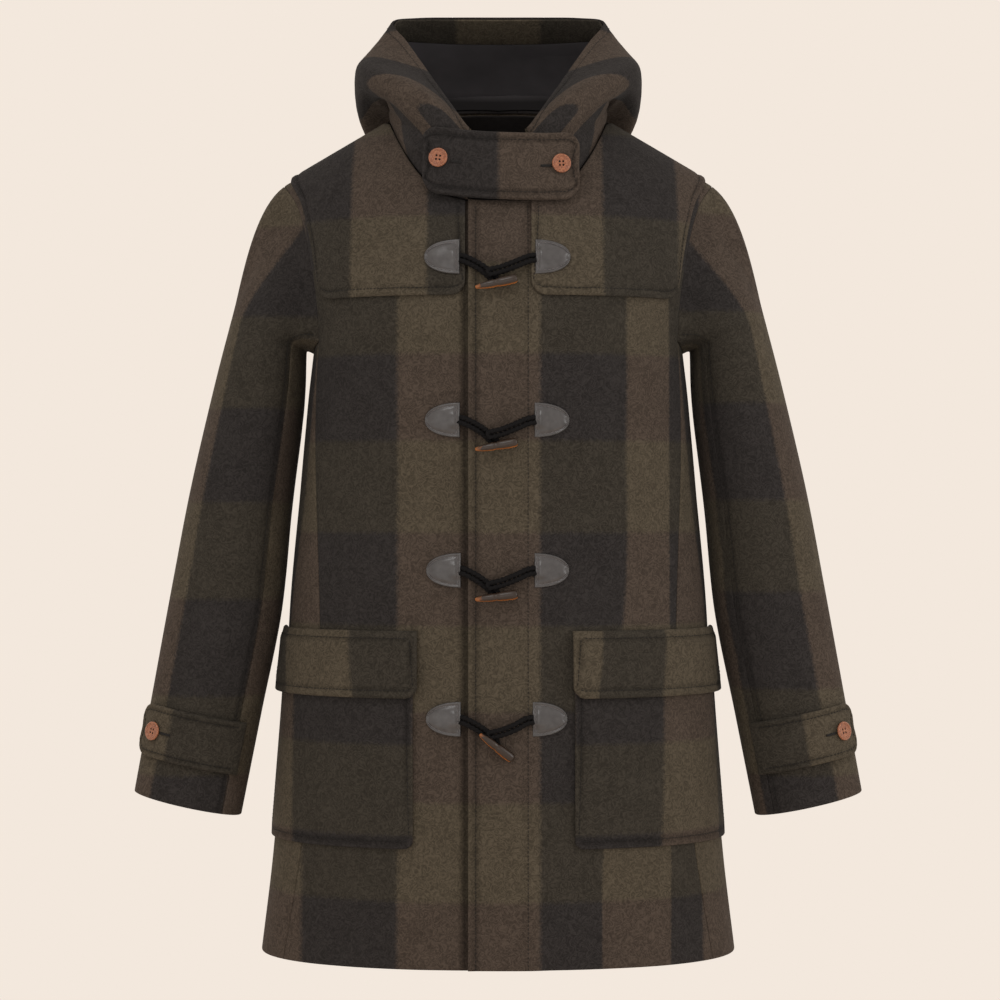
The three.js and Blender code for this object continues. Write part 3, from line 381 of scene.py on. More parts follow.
def unit_out(angle, z):
    """The body's outward normal, from small steps of angle and height, level at the shoulder seam."""
    across = body_point(angle + 0.01, z) - body_point(angle - 0.01, z)
    along = body_point(angle, z + 0.5) - body_point(angle, z - 0.5)
    normal = unit(np.cross(across, along))
    at_seam = (np.abs(body_point(angle, z)[..., 1] - SHOULDER_SEAM_Y) < 0.01) & (z > ARMPIT_Z)
    flat = unit(normal * np.array([1, 0, 1]))
    return np.where(at_seam[..., None], flat, normal)


def armhole_ring():
    """The left armhole as a closed line: down the front edge, under the arm and up the back.

    Gives each point, its turn round the sleeve in degrees (0 outside, 90 in front, 180 inside), its way into
    the sleeve and the cloth's normal there. Under the arm the sleeve folds over, so way and normal turn down.
    """
    rows = 26
    climb = 1 - (1 - np.linspace(0, 1, rows)) ** 1.6
    front_top = float(column_top(np.array([NECK_X + FAN_WIDTH]), True)[0])
    back_top = float(column_top(np.array([NECK_X + FAN_WIDTH]), False)[0])
    front_z = mix(ARMPIT_Z, front_top, climb)[::-1]
    share = np.linspace(0, 1, 19)[1:-1]
    under_angle = mix(SEAM_ANGLE_AT_ARMPIT, BACK_ARMHOLE_ANGLE, share)
    under_z = ARMPIT_Z - ARMPIT_DIP * np.sin(np.pi * share)
    back_z = mix(ARMPIT_Z, back_top, climb)[:-1]
    angle = np.concatenate([0 * front_z + SEAM_ANGLE_AT_ARMPIT, under_angle, 0 * back_z + BACK_ARMHOLE_ANGLE])
    z = np.concatenate([front_z, under_z, back_z])
    point, normal = body_point(angle, z), unit_out(angle, z)
    place = run_along(np.vstack([point, point[:1]]))
    lowest = int(point[:, 2].argmin())
    down, total = place[lowest], place[-1]
    place = place[:-1]
    turn = np.where(place <= down, 180 * place / down, 180 + 180 * (place - down) / (total - down))
    tangent = np.roll(point, -1, 0) - np.roll(point, 1, 0)
    past = unit(np.cross(normal, tangent))
    fold = (UNDERARM_FOLD * np.maximum(-np.cos(np.radians(turn)), 0) ** 2)[:, None]
    way = past * np.cos(fold) + normal * np.sin(fold)
    turned = normal * np.cos(fold) - past * np.sin(fold)
    seams = (turn[rows - 1], turn[rows + len(share)])
    return {"turn": turn, "point": point, "way": way, "normal": turned, "seams": seams}


RING = armhole_ring()


def ring_at(turn, name):
    """The armhole ring's point, way or normal at a turn in degrees, on straight lines between its points."""
    turns = np.append(RING["turn"], 360.0)
    values = np.vstack([RING[name], RING[name][:1]])
    where = np.mod(turn, 360.0)
    return np.stack([np.interp(where, turns, values[:, k]) for k in range(3)], -1)


def sleeve_section(turn, at):
    """An ellipse square to the sleeve's axis: read from SLEEVE at a row number."""
    s = read(SLEEVE, at)
    wide, tilt = s["half_width"] * np.cos(np.radians(turn)), np.radians(s["tilt"])
    y = s["y"] - s["half_depth"] * np.sin(np.radians(turn))
    return np.stack([s["x"] + wide * np.cos(tilt), y, s["z"] + wide * np.sin(tilt)], -1)


def sleeve_point(turn, at):
    """The section from row 0 down. From -1 to 0 a Hermite curve from the armhole, leaving along the body."""
    turn, at = np.broadcast_arrays(np.asarray(turn, float), np.asarray(at, float))
    way = unit(ring_at(turn, "way"))
    start = ring_at(turn, "point") + way * ARMHOLE_GAP
    end = sleeve_section(turn, 0 * at)
    down = unit(sleeve_section(turn, 0 * at + 0.1) - end)
    reach = np.linalg.norm(start - end, axis=-1, keepdims=True) * SLEEVE_HEAD_PULL
    s = np.clip(1 + at, 0, 1)[..., None]
    head = cubic(s, start, end, reach * way, reach * down)
    return np.where((at >= 0)[..., None], sleeve_section(turn, np.maximum(at, 0)), head)


def sleeve_out(turn, at):
    """The left sleeve's outward normal, and the body's own at the armhole."""
    across = sleeve_point(turn + 1, at) - sleeve_point(turn - 1, at)
    along = sleeve_point(turn, np.minimum(at + 0.03, 5)) - sleeve_point(turn, np.maximum(at - 0.03, -1))
    normal = unit(np.cross(across, along))
    return np.where((at <= -0.999)[..., None], unit(ring_at(turn, "normal")), normal)


# Creases of each sleeve, by mm round it from its outside (turn times SLEEVE_MM) and mm down it
SLEEVE_MM = 1.12
SLEEVE_CREASES = {
    "right": [
        (60, -96, 96, 60, 12, 3.0, 6),
        (92, -90, 122, 70, 11, -2.6, 5),
        (34, -98, 62, 20, 11, 2.2, -4),
        (120, -60, 150, 96, 10, 2.4, 4),
        (100, 150, 176, 232, 17, -3.0, 8),
        (108, 236, 184, 306, 17, -3.4, 7),
        (112, 320, 180, 372, 15, -2.4, 6),
        (52, 180, 66, 430, 22, 2.8, 7),
        (96, 396, 128, 480, 16, 2.0, 4),
        (230, 120, 300, 250, 22, 2.6, 8),
        (250, 260, 330, 300, 20, -3.4, 6),
        (262, 330, 340, 360, 18, -2.8, 6),
        (372, 40, 380, 300, 24, 2.0, -6),
    ],
    "left": [
        (50, -98, 84, 54, 12, 3.2, 5),
        (78, -92, 112, 84, 10, -2.8, 4),
        (26, -100, 48, 40, 12, 2.6, -4),
        (108, -70, 142, 80, 11, 2.6, 5),
        (96, 132, 172, 214, 17, -3.2, 7),
        (104, 218, 180, 300, 18, -3.0, 8),
        (110, 330, 178, 392, 14, -2.6, 5),
        (56, 160, 74, 420, 22, 2.6, 6),
        (90, 400, 124, 470, 16, 2.2, 5),
        (236, 130, 306, 240, 22, 2.6, 8),
        (246, 250, 324, 306, 20, -3.2, 6),
        (268, 340, 336, 366, 18, -2.6, 5),
        (376, 60, 384, 320, 24, 1.8, -6),
    ],
}


def sleeve_relief(side, turn, at):
    """How far the creases move the sleeve's cloth, fading out at the armhole seam."""
    down = at * SLEEVE_STEP
    return creases(SLEEVE_CREASES[side], turn * SLEEVE_MM, down) * smooth(at, -1, -0.72)


def on_sleeve(side, turn, at, out):
    """Points over the sleeve's cloth. The right sleeve is the left one mirrored, with its own creases."""
    lift = out + sleeve_relief(side, turn, at)
    points = sleeve_point(turn, at) + sleeve_out(turn, at) * lift[..., None]
    return points * np.array([SIGN[side], 1, 1])


def hood_seam(w):
    """Where a hood section starts: the panels' neckline, from the centre back to the lap's edge."""
    share = np.abs(w)
    front = share > HOOD_FRONT_SHARE
    to_front = mix(NECK_X, OVERLAP_X + 1, (share - HOOD_FRONT_SHARE) / (1 - HOOD_FRONT_SHARE))
    x = np.where(front, to_front, NECK_X * share / HOOD_FRONT_SHARE)
    z = np.where(front, top_edge(x, True), top_edge(x, False))
    points = []
    for is_front in (True, False):
        angle = angle_at_x(x, z, is_front)
        lift = lap_lift(x) * (w > 0) if is_front else 0 * x
        points.append(body_point(angle, z) + unit_out(angle, z) * lift[..., None])
    seam = np.where(front[..., None], points[0], points[1])
    return seam * np.stack([np.where(w < 0, -1, 1), 1 + 0 * w, 1 + 0 * w], -1)


def hood_point(w, share):
    """A section's point: a centripetal Catmull-Rom curve through its seam point and the rows of HOOD_POINTS."""
    w, share = np.broadcast_arrays(np.asarray(w, float), np.asarray(share, float))
    side = np.stack([np.where(w < 0, -1, 1), 1 + 0 * w, 1 + 0 * w], -1)
    seam = hood_seam(w)
    knots = [seam] + [hermite(HOOD_AT, HOOD_POINTS[name], np.abs(w)) * side for name in HOOD_POINTS]
    knots[0] = seam + unit(knots[1] - seam) * SEAM_GAP * 1.3
    knots = np.stack([2 * knots[0] - knots[1], *knots, 2 * knots[-1] - knots[-2]], -2)
    count = len(HOOD_POINTS)
    i = np.minimum((share * count).astype(int), count - 1)
    t = (share * count - i)[..., None]
    p = [np.take_along_axis(knots, (i + k)[..., None, None], -2)[..., 0, :] for k in range(4)]
    return catmull_rom(p, t)


# Creases of the hood, by section number times HOOD_HALF and mm up each section
HOOD_CREASES = [
    (60, 70, 96, 210, 9, 2.6, 6),
    (-60, 80, -92, 220, 9, 2.4, -6),
    (96, 60, 140, 150, 8, -2.4, 5),
    (-98, 64, -144, 160, 8, -2.6, -5),
    (128, 40, 168, 130, 7, 2.2, 3),
    (-126, 44, -166, 126, 7, 2.4, -3),
    (20, 150, 34, 290, 9, -2.6, -4),
    (-26, 140, -40, 300, 10, 2.8, 4),
    (2, 120, -6, 240, 9, 2.0, 4),
]
HOOD_SECTION = 400  # about the length of a section at the back, for placing creases
HOOD_HALF = 200  # about the width of half the hood, for the same use


def on_hood(w, share, out):
    """Points over the hood's cloth, with out along its outward normal."""
    across = hood_point(np.clip(w + 0.01, -1, 1), share) - hood_point(np.clip(w - 0.01, -1, 1), share)
    up, low = np.clip(share + 0.012, 0, 1), np.clip(share - 0.012, 0, 1)
    normal = unit(np.cross(hood_point(w, up) - hood_point(w, low), across))
    relief = creases(HOOD_CREASES, HOOD_HALF * w, HOOD_SECTION * share) * smooth(share, 0.02, 0.15)
    return hood_point(w, share) + normal * (out + relief)[..., None]


def shell_faces(shape, present=None):
    """Quads of a closed sheet: one face's grid, the other's turned round, and a rim wherever a cell has no
    neighbour. present says which cells of the grid are there."""
    nu, nv = shape
    at = np.arange(nu * nv).reshape(nu, nv)
    if present is None:
        present = np.ones((nu - 1, nv - 1), bool)
    a, b, c, d = at[:-1, :-1], at[1:, :-1], at[1:, 1:], at[:-1, 1:]
    around = np.pad(present, 1)
    free = {
        (0, -1): (b, a),
        (1, 0): (c, b),
        (0, 1): (d, c),
        (-1, 0): (a, d),
    }
    quads = [np.stack([a, b, c, d], -1)[present], np.stack([a, d, c, b], -1)[present] + nu * nv]
    for (di, dj), (p, q) in free.items():
        neighbour = around[1 + di : 1 + di + nu - 1, 1 + dj : 1 + dj + nv - 1]
        edge = present & ~neighbour
        quads.append(np.stack([p, q, q + nu * nv, p + nu * nv], -1)[edge])
    return np.concatenate(quads)


def volume_of(points, quads):
    """Six times the volume inside a closed mesh of quads, by the divergence theorem."""
    a, b, c, d = (points[quads[:, k]] for k in range(4))
    return float((a * np.cross(b, c)).sum() + (a * np.cross(c, d)).sum())


def outward(points, quads):
    """The quads of a closed mesh, turned round where they face inwards."""
    return quads[:, ::-1] if volume_of(points, quads) < 0 else quads


def add_mesh(name, points, faces, layers=None):
    """A smooth-shaded mesh object from points in millimetres, with a UV map for each named array of UVs."""
    mesh = bpy.data.meshes.new(name)
    faces = [list(map(int, f)) for f in faces] if not isinstance(faces, np.ndarray) else faces.tolist()
    mesh.from_pydata((np.asarray(points, float) * MM).tolist(), [], faces)
    mesh.polygons.foreach_set("use_smooth", np.ones(len(mesh.polygons), bool))
    corner = np.zeros(len(mesh.loops), np.int32)
    mesh.loops.foreach_get("vertex_index", corner)
    for layer, values in (layers or {}).items():
        uv = mesh.uv_layers.new(name=layer)
        uv.data.foreach_set("uv", np.asarray(values, np.float32)[corner].ravel())
    mesh.update()
    made = bpy.data.objects.new(name, mesh)
    bpy.context.scene.collection.objects.link(made)
    return made


def lengths(points, axis):
    """The lengths of a grid's lines along an axis."""
    return np.linalg.norm(np.diff(points, axis=axis), axis=-1).sum(axis=axis)


def cut_of(middle, present=None):
    """Width, length and area in metres of the flat cloth that a grid of points was cut from."""
    across = middle[1:, :-1] - middle[:-1, :-1]
    along = middle[:-1, 1:] - middle[:-1, :-1]
    cells = np.linalg.norm(np.cross(across, along), axis=-1)
    if present is not None:
        cells = cells * present
    width, length = float(lengths(middle, 0).max()) * MM, float(lengths(middle, 1).max()) * MM
    return width, length, min(float(cells.sum()) * MM * MM, width * length)


def line_on(grid, distance, inset, axis, keep=None):
    """Where the lines of a grid along an axis reach a distance, by straight lines between its points."""
    if axis == 1:
        grid, distance = np.swapaxes(grid, 0, 1), distance.T
        keep = keep.T if keep is not None else None
    if distance[0].mean() > distance[-1].mean():
        grid, distance = grid[::-1], distance[::-1]
        keep = keep[::-1] if keep is not None else None
    after = np.clip((distance < inset).sum(0), 1, len(distance) - 1)
    line = np.arange(distance.shape[1])
    low, high = distance[after - 1, line], distance[after, line]
    share = np.clip((inset - low) / np.maximum(high - low, 1e-6), 0, 1)[:, None]
    points = mix(grid[after - 1, line], grid[after, line], share)
    return points if keep is None else points[keep[after, line]]


def stitch_mesh(lines):
    """Lockstitch threads along lines of points and outward directions.

    Each thread is a tube over its share t of the pitch: r = radius * (0.35 + 0.65 sin(pi t)), rising and
    sinking into the cloth as sin(pi t).
    """
    sewing = bpy.context.scene.coat_sewing
    pitch, length, thread = sewing.stitch_pitch / MM, sewing.stitch_length / MM, sewing.thread_radius / MM
    tubes = []
    turn = np.linspace(0, 2 * np.pi, 6, endpoint=False)
    t = np.array([0.0, 0.18, 0.5, 0.82, 1.0])
    for points, ups in lines:
        place = run_along(points)
        count = int(place[-1] / pitch)
        if count < 1:
            continue
        starts = (np.arange(count) + 0.5) * place[-1] / count - length / 2
        at = starts[:, None] + length * t
        middle = np.stack([np.interp(at, place, points[:, k]) for k in range(3)], -1)
        up = unit(np.stack([np.interp(at, place, ups[:, k]) for k in range(3)], -1))
        way = unit(middle[:, -1:] - middle[:, :1]) + 0 * middle
        side = unit(np.cross(way, up))
        middle = middle + up * (thread * (1.1 * np.sin(np.pi * t) - 0.2))[:, None]
        radius = (thread * (0.35 + 0.65 * np.sin(np.pi * t)))[:, None]
        ring = side[:, :, None] * np.cos(turn)[:, None] + up[:, :, None] * np.sin(turn)[:, None]
        tubes.append(middle[:, :, None] + ring * radius[..., None])
    rings = np.concatenate(tubes)
    n, rows, cols = rings.shape[:3]
    at = np.arange(n * rows * cols).reshape(n, rows, cols)
    after = np.roll(at, -1, axis=2)
    walls = np.stack([at[:, :-1], after[:, :-1], after[:, 1:], at[:, 1:]], -1).reshape(-1, 4)
    ends = [at[:, 0, [0, 5, 4, 3]], at[:, 0, [0, 3, 2, 1]], at[:, -1, [0, 1, 2, 3]], at[:, -1, [0, 3, 4, 5]]]
    return rings.reshape(-1, 3), np.concatenate([walls, *ends])


def add_stitches(name, front, back, rows, finish="thread", slot="wool"):
    """The threads of a piece's topstitching, on the lines that rows give as (distance, inset, axis, keep)."""
    up = unit(front - back)
    lines = [(line_on(front, *row), line_on(up, *row)) for row in rows]
    points, faces = stitch_mesh([line for line in lines if len(line[0]) > 1])
    return piece(name, points, outward(points, faces), finish, slot=slot)


def cloth(name, node, surface, edge, thickness, checks=None, present=None, relief=0,
          rows=(), finish="wool", inner=None, inner_relief=0):
    """A sheet of cloth in place of a CAD node.

    surface(out) gives the grid of points at out over the node's back face, edge the distance of each point
    from the nearest free edge, relief what sewing adds to the front face, and rows the lines of topstitching.
    inner is the finish of the back face, where it has its own, and inner_relief what is added to that face.
    """
    draw_in = rounding(edge, thickness)
    front, back = surface(thickness - draw_in + relief), surface(draw_in - inner_relief)
    points = np.concatenate([front.reshape(-1, 3), back.reshape(-1, 3)])
    quads = outward(points, shell_faces(front.shape[:2], present))
    used = np.unique(quads)
    renumber = np.zeros(len(points), int)
    renumber[used] = np.arange(len(used))
    layers = {}
    if checks is not None:
        flat = np.stack(np.broadcast_arrays(*checks), -1).reshape(-1, 2)
        layers["checks"] = np.concatenate([flat, flat])[used]
        # Painted shade: how far the relief dips, by which the wool is painted darker in grooves and troughs
        dip = np.clip(-(relief + 0 * edge) / 2, 0, 1).reshape(-1)
        layers["dip"] = np.concatenate([np.stack([dip, dip], -1)] * 2)[used]
    made = add_mesh(name, points[used], renumber[quads], layers)
    made.data.materials.append(material(finish))
    if inner:
        made.data.materials.append(material(inner))
        is_back = (quads >= front[..., 0].size).all(axis=1)
        made.data.polygons.foreach_set("material_index", is_back.astype(np.int32))
    width, length, area = cut_of(surface(thickness / 2 + 0 * edge), present)
    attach(made, "root")
    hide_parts(node)
    sewn = [add_stitches(f"{node}_stitches", front, back, rows)] if rows else []


BLOCK = 94.0  # about the size of a block of the check, past the last bound that is given


def block_number(value, bounds, first=0):
    """A place along the cloth as a number of blocks: whole at each bound, and even ones are the paler."""
    bounds = np.asarray(bounds, float)
    ends = np.concatenate([[bounds[0] - 10 * BLOCK], bounds, [bounds[-1] + 10 * BLOCK]])
    numbers = np.concatenate([[-10], np.arange(len(bounds)), [len(bounds) + 9]]) + first + 20.0
    return np.interp(value, ends, numbers)


def near_edges(u, v, width, height):
    """The distance from the nearest of a rectangle's four sides."""
    return np.minimum(np.minimum(u, width - u), np.minimum(v, height - v))


def grid_edge(base):
    """Distances along a grid's columns and rows, and from its nearest side."""
    across, up = run_along(base), run_along(np.swapaxes(base, 0, 1)).T
    return across, up, near_edges(across, up, across[-1], up[:, -1:])


BACK_COLUMNS = [-141, -47, 47, 141]  # edges of the columns of checks, from the centre back
# Heights of the edges of the rows of checks on the body, and their columns' edges by x
BODY_ROWS = [-837, -734, -640, -551, -454, -358, -268]
FRONT_COLUMNS = {"right": [-208, -104.6], "left": [43.5, 135, 181, 216]}


# The lower front's trough just past the lap, and the roll of the upper front's edge, in millimetres
TROUGH = {"depth": 2.4, "past_edge": 1.5, "width": 3.4}
EDGE_ROLL = {"height": 0.9, "width": 7}


def panel_rows(columns, front, with_side=False):
    """Heights of each column's points from the hem to the top edge, closer near both ends."""
    low = HEM_Z + spread(ARMPIT_Z - HEM_Z, 8, end=with_side)
    top = column_top(columns, front)
    climb = spread(1, 0.04, edge=0.006, start=False)
    high = mix(ARMPIT_Z, top[:, None], climb[None, 1:])
    return np.concatenate([np.tile(low, (len(columns), 1)), high], 1), len(low)


def build_front(side):
    """One front: its columns run from the front edge to the side seam, its rows from hem to neckline."""
    start = -OVERLAP_X if side == "left" else -UNDERLAP_X
    columns = start + spread(NECK_X + FAN_WIDTH - start, 6.5)
    z, _ = panel_rows(columns, True)
    s = columns[:, None] + 0 * z
    angle = column_angle(s, z, True) - smooth(s, NECK_X, NECK_X + FAN_WIDTH) * HALF_GAP_ANGLE
    angle = angle * SIGN[side]
    base = body_point(angle, z)
    across, up, edge = grid_edge(base)
    x = base[..., 0]
    lift = 0 * z
    if side == "right":
        rows = []
        # The trough is also painted darker as shade, through the dip layer that cloth() takes from this relief
        relief = -TROUGH["depth"] * np.exp(-(((x + OVERLAP_X + TROUGH["past_edge"]) / TROUGH["width"]) ** 2))
    else:
        relief = groove(across) * smooth(up[:, -1:] - up, 2, 12)
        placket = groove(np.abs(across - 2 * OVERLAP_X), 0, 0.8, 1.6)
        relief = relief + placket * smooth(up[:, -1:] - up, 4, 14)
        below_neck = up[:, -1:] - up > 6
        rows = [(across, STITCH_INSET, 0, below_neck), (across, 2 * OVERLAP_X, 0, below_neck)]
        lift = lap_lift(x) + EDGE_ROLL["height"] * np.exp(-((across / EDGE_ROLL["width"]) ** 2))
    surface = lambda out: on_body(angle, z, lift - CLOTH + out)
    # The column edges lean aside over the hip, where the flare of the cut turns them
    slant = 26 * smooth(-z, 450, 840) * smooth(x, 70, 112) * (1 - smooth(x, 125, 178))
    checks = (block_number(x + slant, FRONT_COLUMNS[side], 1), block_number(z, BODY_ROWS))
    cloth(f"front_{side}_cloth", f"front_{side}", surface, edge, CLOTH, checks, relief=relief, rows=rows,
          inner="reverse")


def build_back():
    """The back, from one side seam to the other, with its two side parts as high as the armpits."""
    fan = NECK_X + FAN_WIDTH - spread(2 * (NECK_X + FAN_WIDTH), 7)
    side_share = spread(1, 0.07, edge=0.012, end=False)[:-1]
    z_mid, low_count = panel_rows(fan, False, with_side=True)
    z_low = z_mid[0, :low_count]
    dip = ARMPIT_DIP * np.sin(np.pi * side_share)[:, None] * smooth(z_low, -330, ARMPIT_Z)
    side_low = z_low[None, :] - dip
    z_side = np.concatenate([side_low, np.repeat(side_low[:, -1:], z_mid.shape[1] - low_count, 1)], 1)
    share = side_share[:, None]
    side_angle = mix(seam_angle(z_side) + HALF_GAP_ANGLE, BACK_ARMHOLE_ANGLE, share)
    mid_angle = column_angle(fan[:, None], z_mid, False)
    angle = np.concatenate([side_angle, mid_angle, -side_angle[::-1]])
    z = np.concatenate([z_side, z_mid, z_side[::-1]])
    count = len(side_share)
    present = np.ones((len(z) - 1, z.shape[1] - 1), bool)
    present[:count, low_count - 1 :] = False
    present[-count:, low_count - 1 :] = False
    base = body_point(angle, z)
    across, up, _ = grid_edge(base)
    upper = np.arange(z.shape[1]) >= low_count - 1
    left_end = np.where(upper, across[count], across[0])
    right_end = np.where(upper, across[-count - 1], across[-1])
    edge = np.minimum(np.minimum(across - left_end, right_end - across), np.minimum(up, up[:, -1:] - up))
    edge = np.maximum(edge, 0)
    middle = across - across[len(across) // 2]
    checks = (block_number(middle, BACK_COLUMNS, 1), block_number(z, BODY_ROWS))
    surface = lambda out: on_body(angle, z, out - CLOTH)
    cloth("back_cloth", "back", surface, edge, CLOTH, checks, present=present, inner="reverse")


# Heights of the check rows on each sleeve, and the columns' edges by mm round it
SLEEVE_ROWS = {
    "right": [-714, -630, -526, -422, -322, -224, -123],
    "left": [-714, -622, -518, -420, -316, -218, -109],
}
SLEEVE_COLUMNS = {"right": [-38, 56, 150, 244, 338], "left": [-25, 69, 163, 257, 351]}


def build_sleeve(side, part):
    """A piece of a sleeve: the upper one goes round its outside from seam to seam, the under one closes it."""
    front_turn, back_turn = RING["seams"]
    ends = (front_turn, back_turn) if part == "under" else (back_turn, front_turn + 360)
    mm = (ends[1] - ends[0]) * SLEEVE_MM
    turn = ends[0] + SLEEVE_GAP + spread(mm, 5) / mm * (ends[1] - ends[0] - 2 * SLEEVE_GAP)
    head = -1 + spread(1, 0.05, edge=0.012, end=False)
    tube = spread(5, 0.055, edge=0.0136, start=False)
    at = np.concatenate([head, tube[1:]])
    turn, at = np.broadcast_arrays(turn[:, None], at[None, :])
    base = sleeve_point(turn, at)
    across, up, edge = grid_edge(base)
    relief, rows = 0 * at, []
    if part == "upper":
        dips = [groove(distance, SLEEVE_STITCH_INSET, 0.7, 1.6) for distance in (across, across[-1] - across)]
        relief = sum(dips) * smooth(edge, 0, 2)
        rows = [(across[-1] - across, SLEEVE_STITCH_INSET, 0, up > 4)]
    surface = lambda out: on_sleeve(side, turn, at, out - CLOTH)
    round_it = np.mod(turn + 90, 360) * SLEEVE_MM - 90 * SLEEVE_MM
    checks = (block_number(round_it, SLEEVE_COLUMNS[side]), block_number(base[..., 2], SLEEVE_ROWS[side]))
    name = f"sleeve_{part}_{side}"
    cloth(f"{name}_cloth", name, surface, edge, CLOTH, checks, relief=relief, rows=rows, inner="reverse")


HOOD_COLUMNS = [-235, *BACK_COLUMNS, 235]  # edges of the hood's columns of checks, round from the centre back


def hood_round(w, rows):
    """The distance round the hood from its centre back, along each row: arc lengths added up in 80 steps."""
    fine = np.linspace(0, 1, 81)
    arc = run_along(hood_point(fine[:, None], rows[None, :]))
    return np.stack([np.interp(np.abs(w[:, k]), fine, arc[:, k]) for k in range(len(rows))], -1) * np.sign(w)


def build_hood_panel(node, start, end, shares, back, thickness, checks=True, rim=False):
    """A layer of the hood between two section numbers and two shares of each section.

    back is its inner face's place over the cloth's outer face.
    """
    w_mm = abs(end - start) * HOOD_HALF
    w = start + spread(w_mm, 3.4) / w_mm * (end - start)
    height = (shares[1] - shares[0]) * HOOD_SECTION
    rows = spread(height, 6) / HOOD_SECTION + shares[0]
    w, share = np.broadcast_arrays(w[:, None], rows[None, :])
    base = hood_point(w, share)
    _, up, edge = grid_edge(base)
    relief, inner_relief, stitches = 0 * share, 0 * share, []
    if not checks:
        seams = np.abs(hood_round(w, rows)) - hood_round(np.full((1, len(rows)), HOOD_SEAM_AT), rows)
        seam_dip = -0.7 * np.exp(-((seams / 1.4) ** 2))
        inner_relief = seam_dip + 1.6 * np.sin(9.0 * w + 4.0 * share) * smooth(edge, 0, 30)
    if thickness == FACING:
        inner_relief = groove(up, 6, 0.7, 1.5)
    if rim:
        relief = groove(up[:, -1:] - up, RIM_STITCH_INSET, 0.8, 1.8)
        stitches = [(up[:, -1:] - up, RIM_STITCH_INSET, 1, None)]
    surface = lambda out: on_hood(w, share, back + out)
    marks = None
    if checks:
        columns = block_number(hood_round(w, rows), HOOD_COLUMNS)
        marks = (columns, (PALE_ROW if thickness == FACING else DARK_ROW) + 0 * share)
    cloth(f"{node}_cloth", node, surface, edge, thickness, marks, relief=relief, rows=stitches,
          finish="wool" if checks else "lining", inner="reverse" if rim else None, inner_relief=inner_relief)


def build_hood():
    """Two sides and a centre panel, with the lining and the checked facing inside."""
    seam, inside = HOOD_SEAM_AT, -CLOTH - LAY
    for name, start, end in (("side_left", seam, 1), ("side_right", -1, -seam), ("centre", -seam, seam)):
        build_hood_panel(f"hood_{name}", start, end, (0, 1), -CLOTH, CLOTH, rim=True)
    build_hood_panel("hood_lining", -1, 1, (0.02, FACING_FROM - 0.001), inside - LINING, LINING, checks=False)
    build_hood_panel("hood_facing", -1, 1, (FACING_FROM, 1), inside - FACING, FACING)


# Yokes, pockets and tabs, in millimetres
YOKE = {"inner": 34, "bottom": -208, "corner": 15, "back_bottom": -190, "outer_share": 5 / 6}
YOKE_ROWS = [-218, -124, -30]
YOKE_COLUMNS = {"right": ([-153, -73.6], 0), "left": ([109, 189], 1)}
POCKET = {"top": -575, "bottom": -782, "corner": 9}
FLAP = {"top": -556, "bottom": -626, "corner": 12, "thickness": 4.5}
# Each side's x of a pocket's inner edge, and its width round the body from there
BAG_ACROSS = {"right": (88, 215), "left": (79.5, 223.5)}
FLAP_ACROSS = {"right": (83, 219), "left": (77, 225)}
TAB = {"left": 84, "right": -78, "top": -30.5, "bottom": -101.5, "corner": 16, "thickness": 6}
TAB_BUTTONS = {"right": -61, "left": 64.5, "z": -64.0}
TAB_Y, TAB_CURVE, TAB_LEAN, TAB_BOW, TAB_SLANT = -130.3, 0.0016, 0.1, 6, 0.05
CUFF_TAB = {"top": 4.1, "height": 56, "seam_turn": 141, "length": 118, "corner": 15, "thickness": 5}
CUFF_BUTTON_AT = 93
CUFF_STITCH_INSET = 6.5
CUFF_MM_PER_DEGREE = 0.96


def corner_cut(distance, radius):
    """What a rounded corner takes off an edge at a distance from the side: a circle's rise."""
    inside = np.clip(radius - distance, 0, radius)
    return radius - np.sqrt(np.maximum(radius**2 - inside**2, 0))


def around(across, up, inset=STITCH_INSET):
    """Rows of topstitching inside a piece's two sides, its bottom and its top."""
    far, high = across[-1] - across, up[:, -1:] - up
    between = (across > inset) & (far > inset)
    level = (up > inset) & (high > inset)
    sides = [(across, inset, 0, level), (far, inset, 0, level)]
    return [*sides, (up, inset, 1, between), (high, inset, 1, between)]


def build_front_yoke(side):
    """A shoulder patch on each front, from near the lap nearly to the armhole, with rounded lower corners."""
    outer = NECK_X + FAN_WIDTH * YOKE["outer_share"]
    columns = YOKE["inner"] + spread(outer - YOKE["inner"], 5)
    top = column_top(columns, True)
    level = np.full_like(columns, YOKE["bottom"])
    x = body_point(column_angle(columns, level, True), level)[..., 0]
    bottom = level + corner_cut(np.minimum(x - x[0], x[-1] - x), YOKE["corner"])
    top = top - np.where(x < NECK_X - 1, 2.0, 0)
    share = spread(200, 5) / 200
    z = mix(bottom[:, None], top[:, None], share[None, :])
    angle = column_angle(columns[:, None], z, True) * SIGN[side]
    base = body_point(angle, z)
    across, up, edge = grid_edge(base)
    lift = lap_lift(base[..., 0]) if side == "left" else 0 * z
    stitched = np.minimum(np.minimum(across, across[-1] - across), up)
    surface = lambda out: on_body(angle, z, lift + LAY + out)
    checks = (block_number(base[..., 0], *YOKE_COLUMNS[side]), block_number(z, YOKE_ROWS))
    name = f"yoke_front_{side}"
    cloth(f"{name}_cloth", name, surface, edge, CLOTH, checks, relief=groove(stitched),
          rows=around(across, up)[:3])


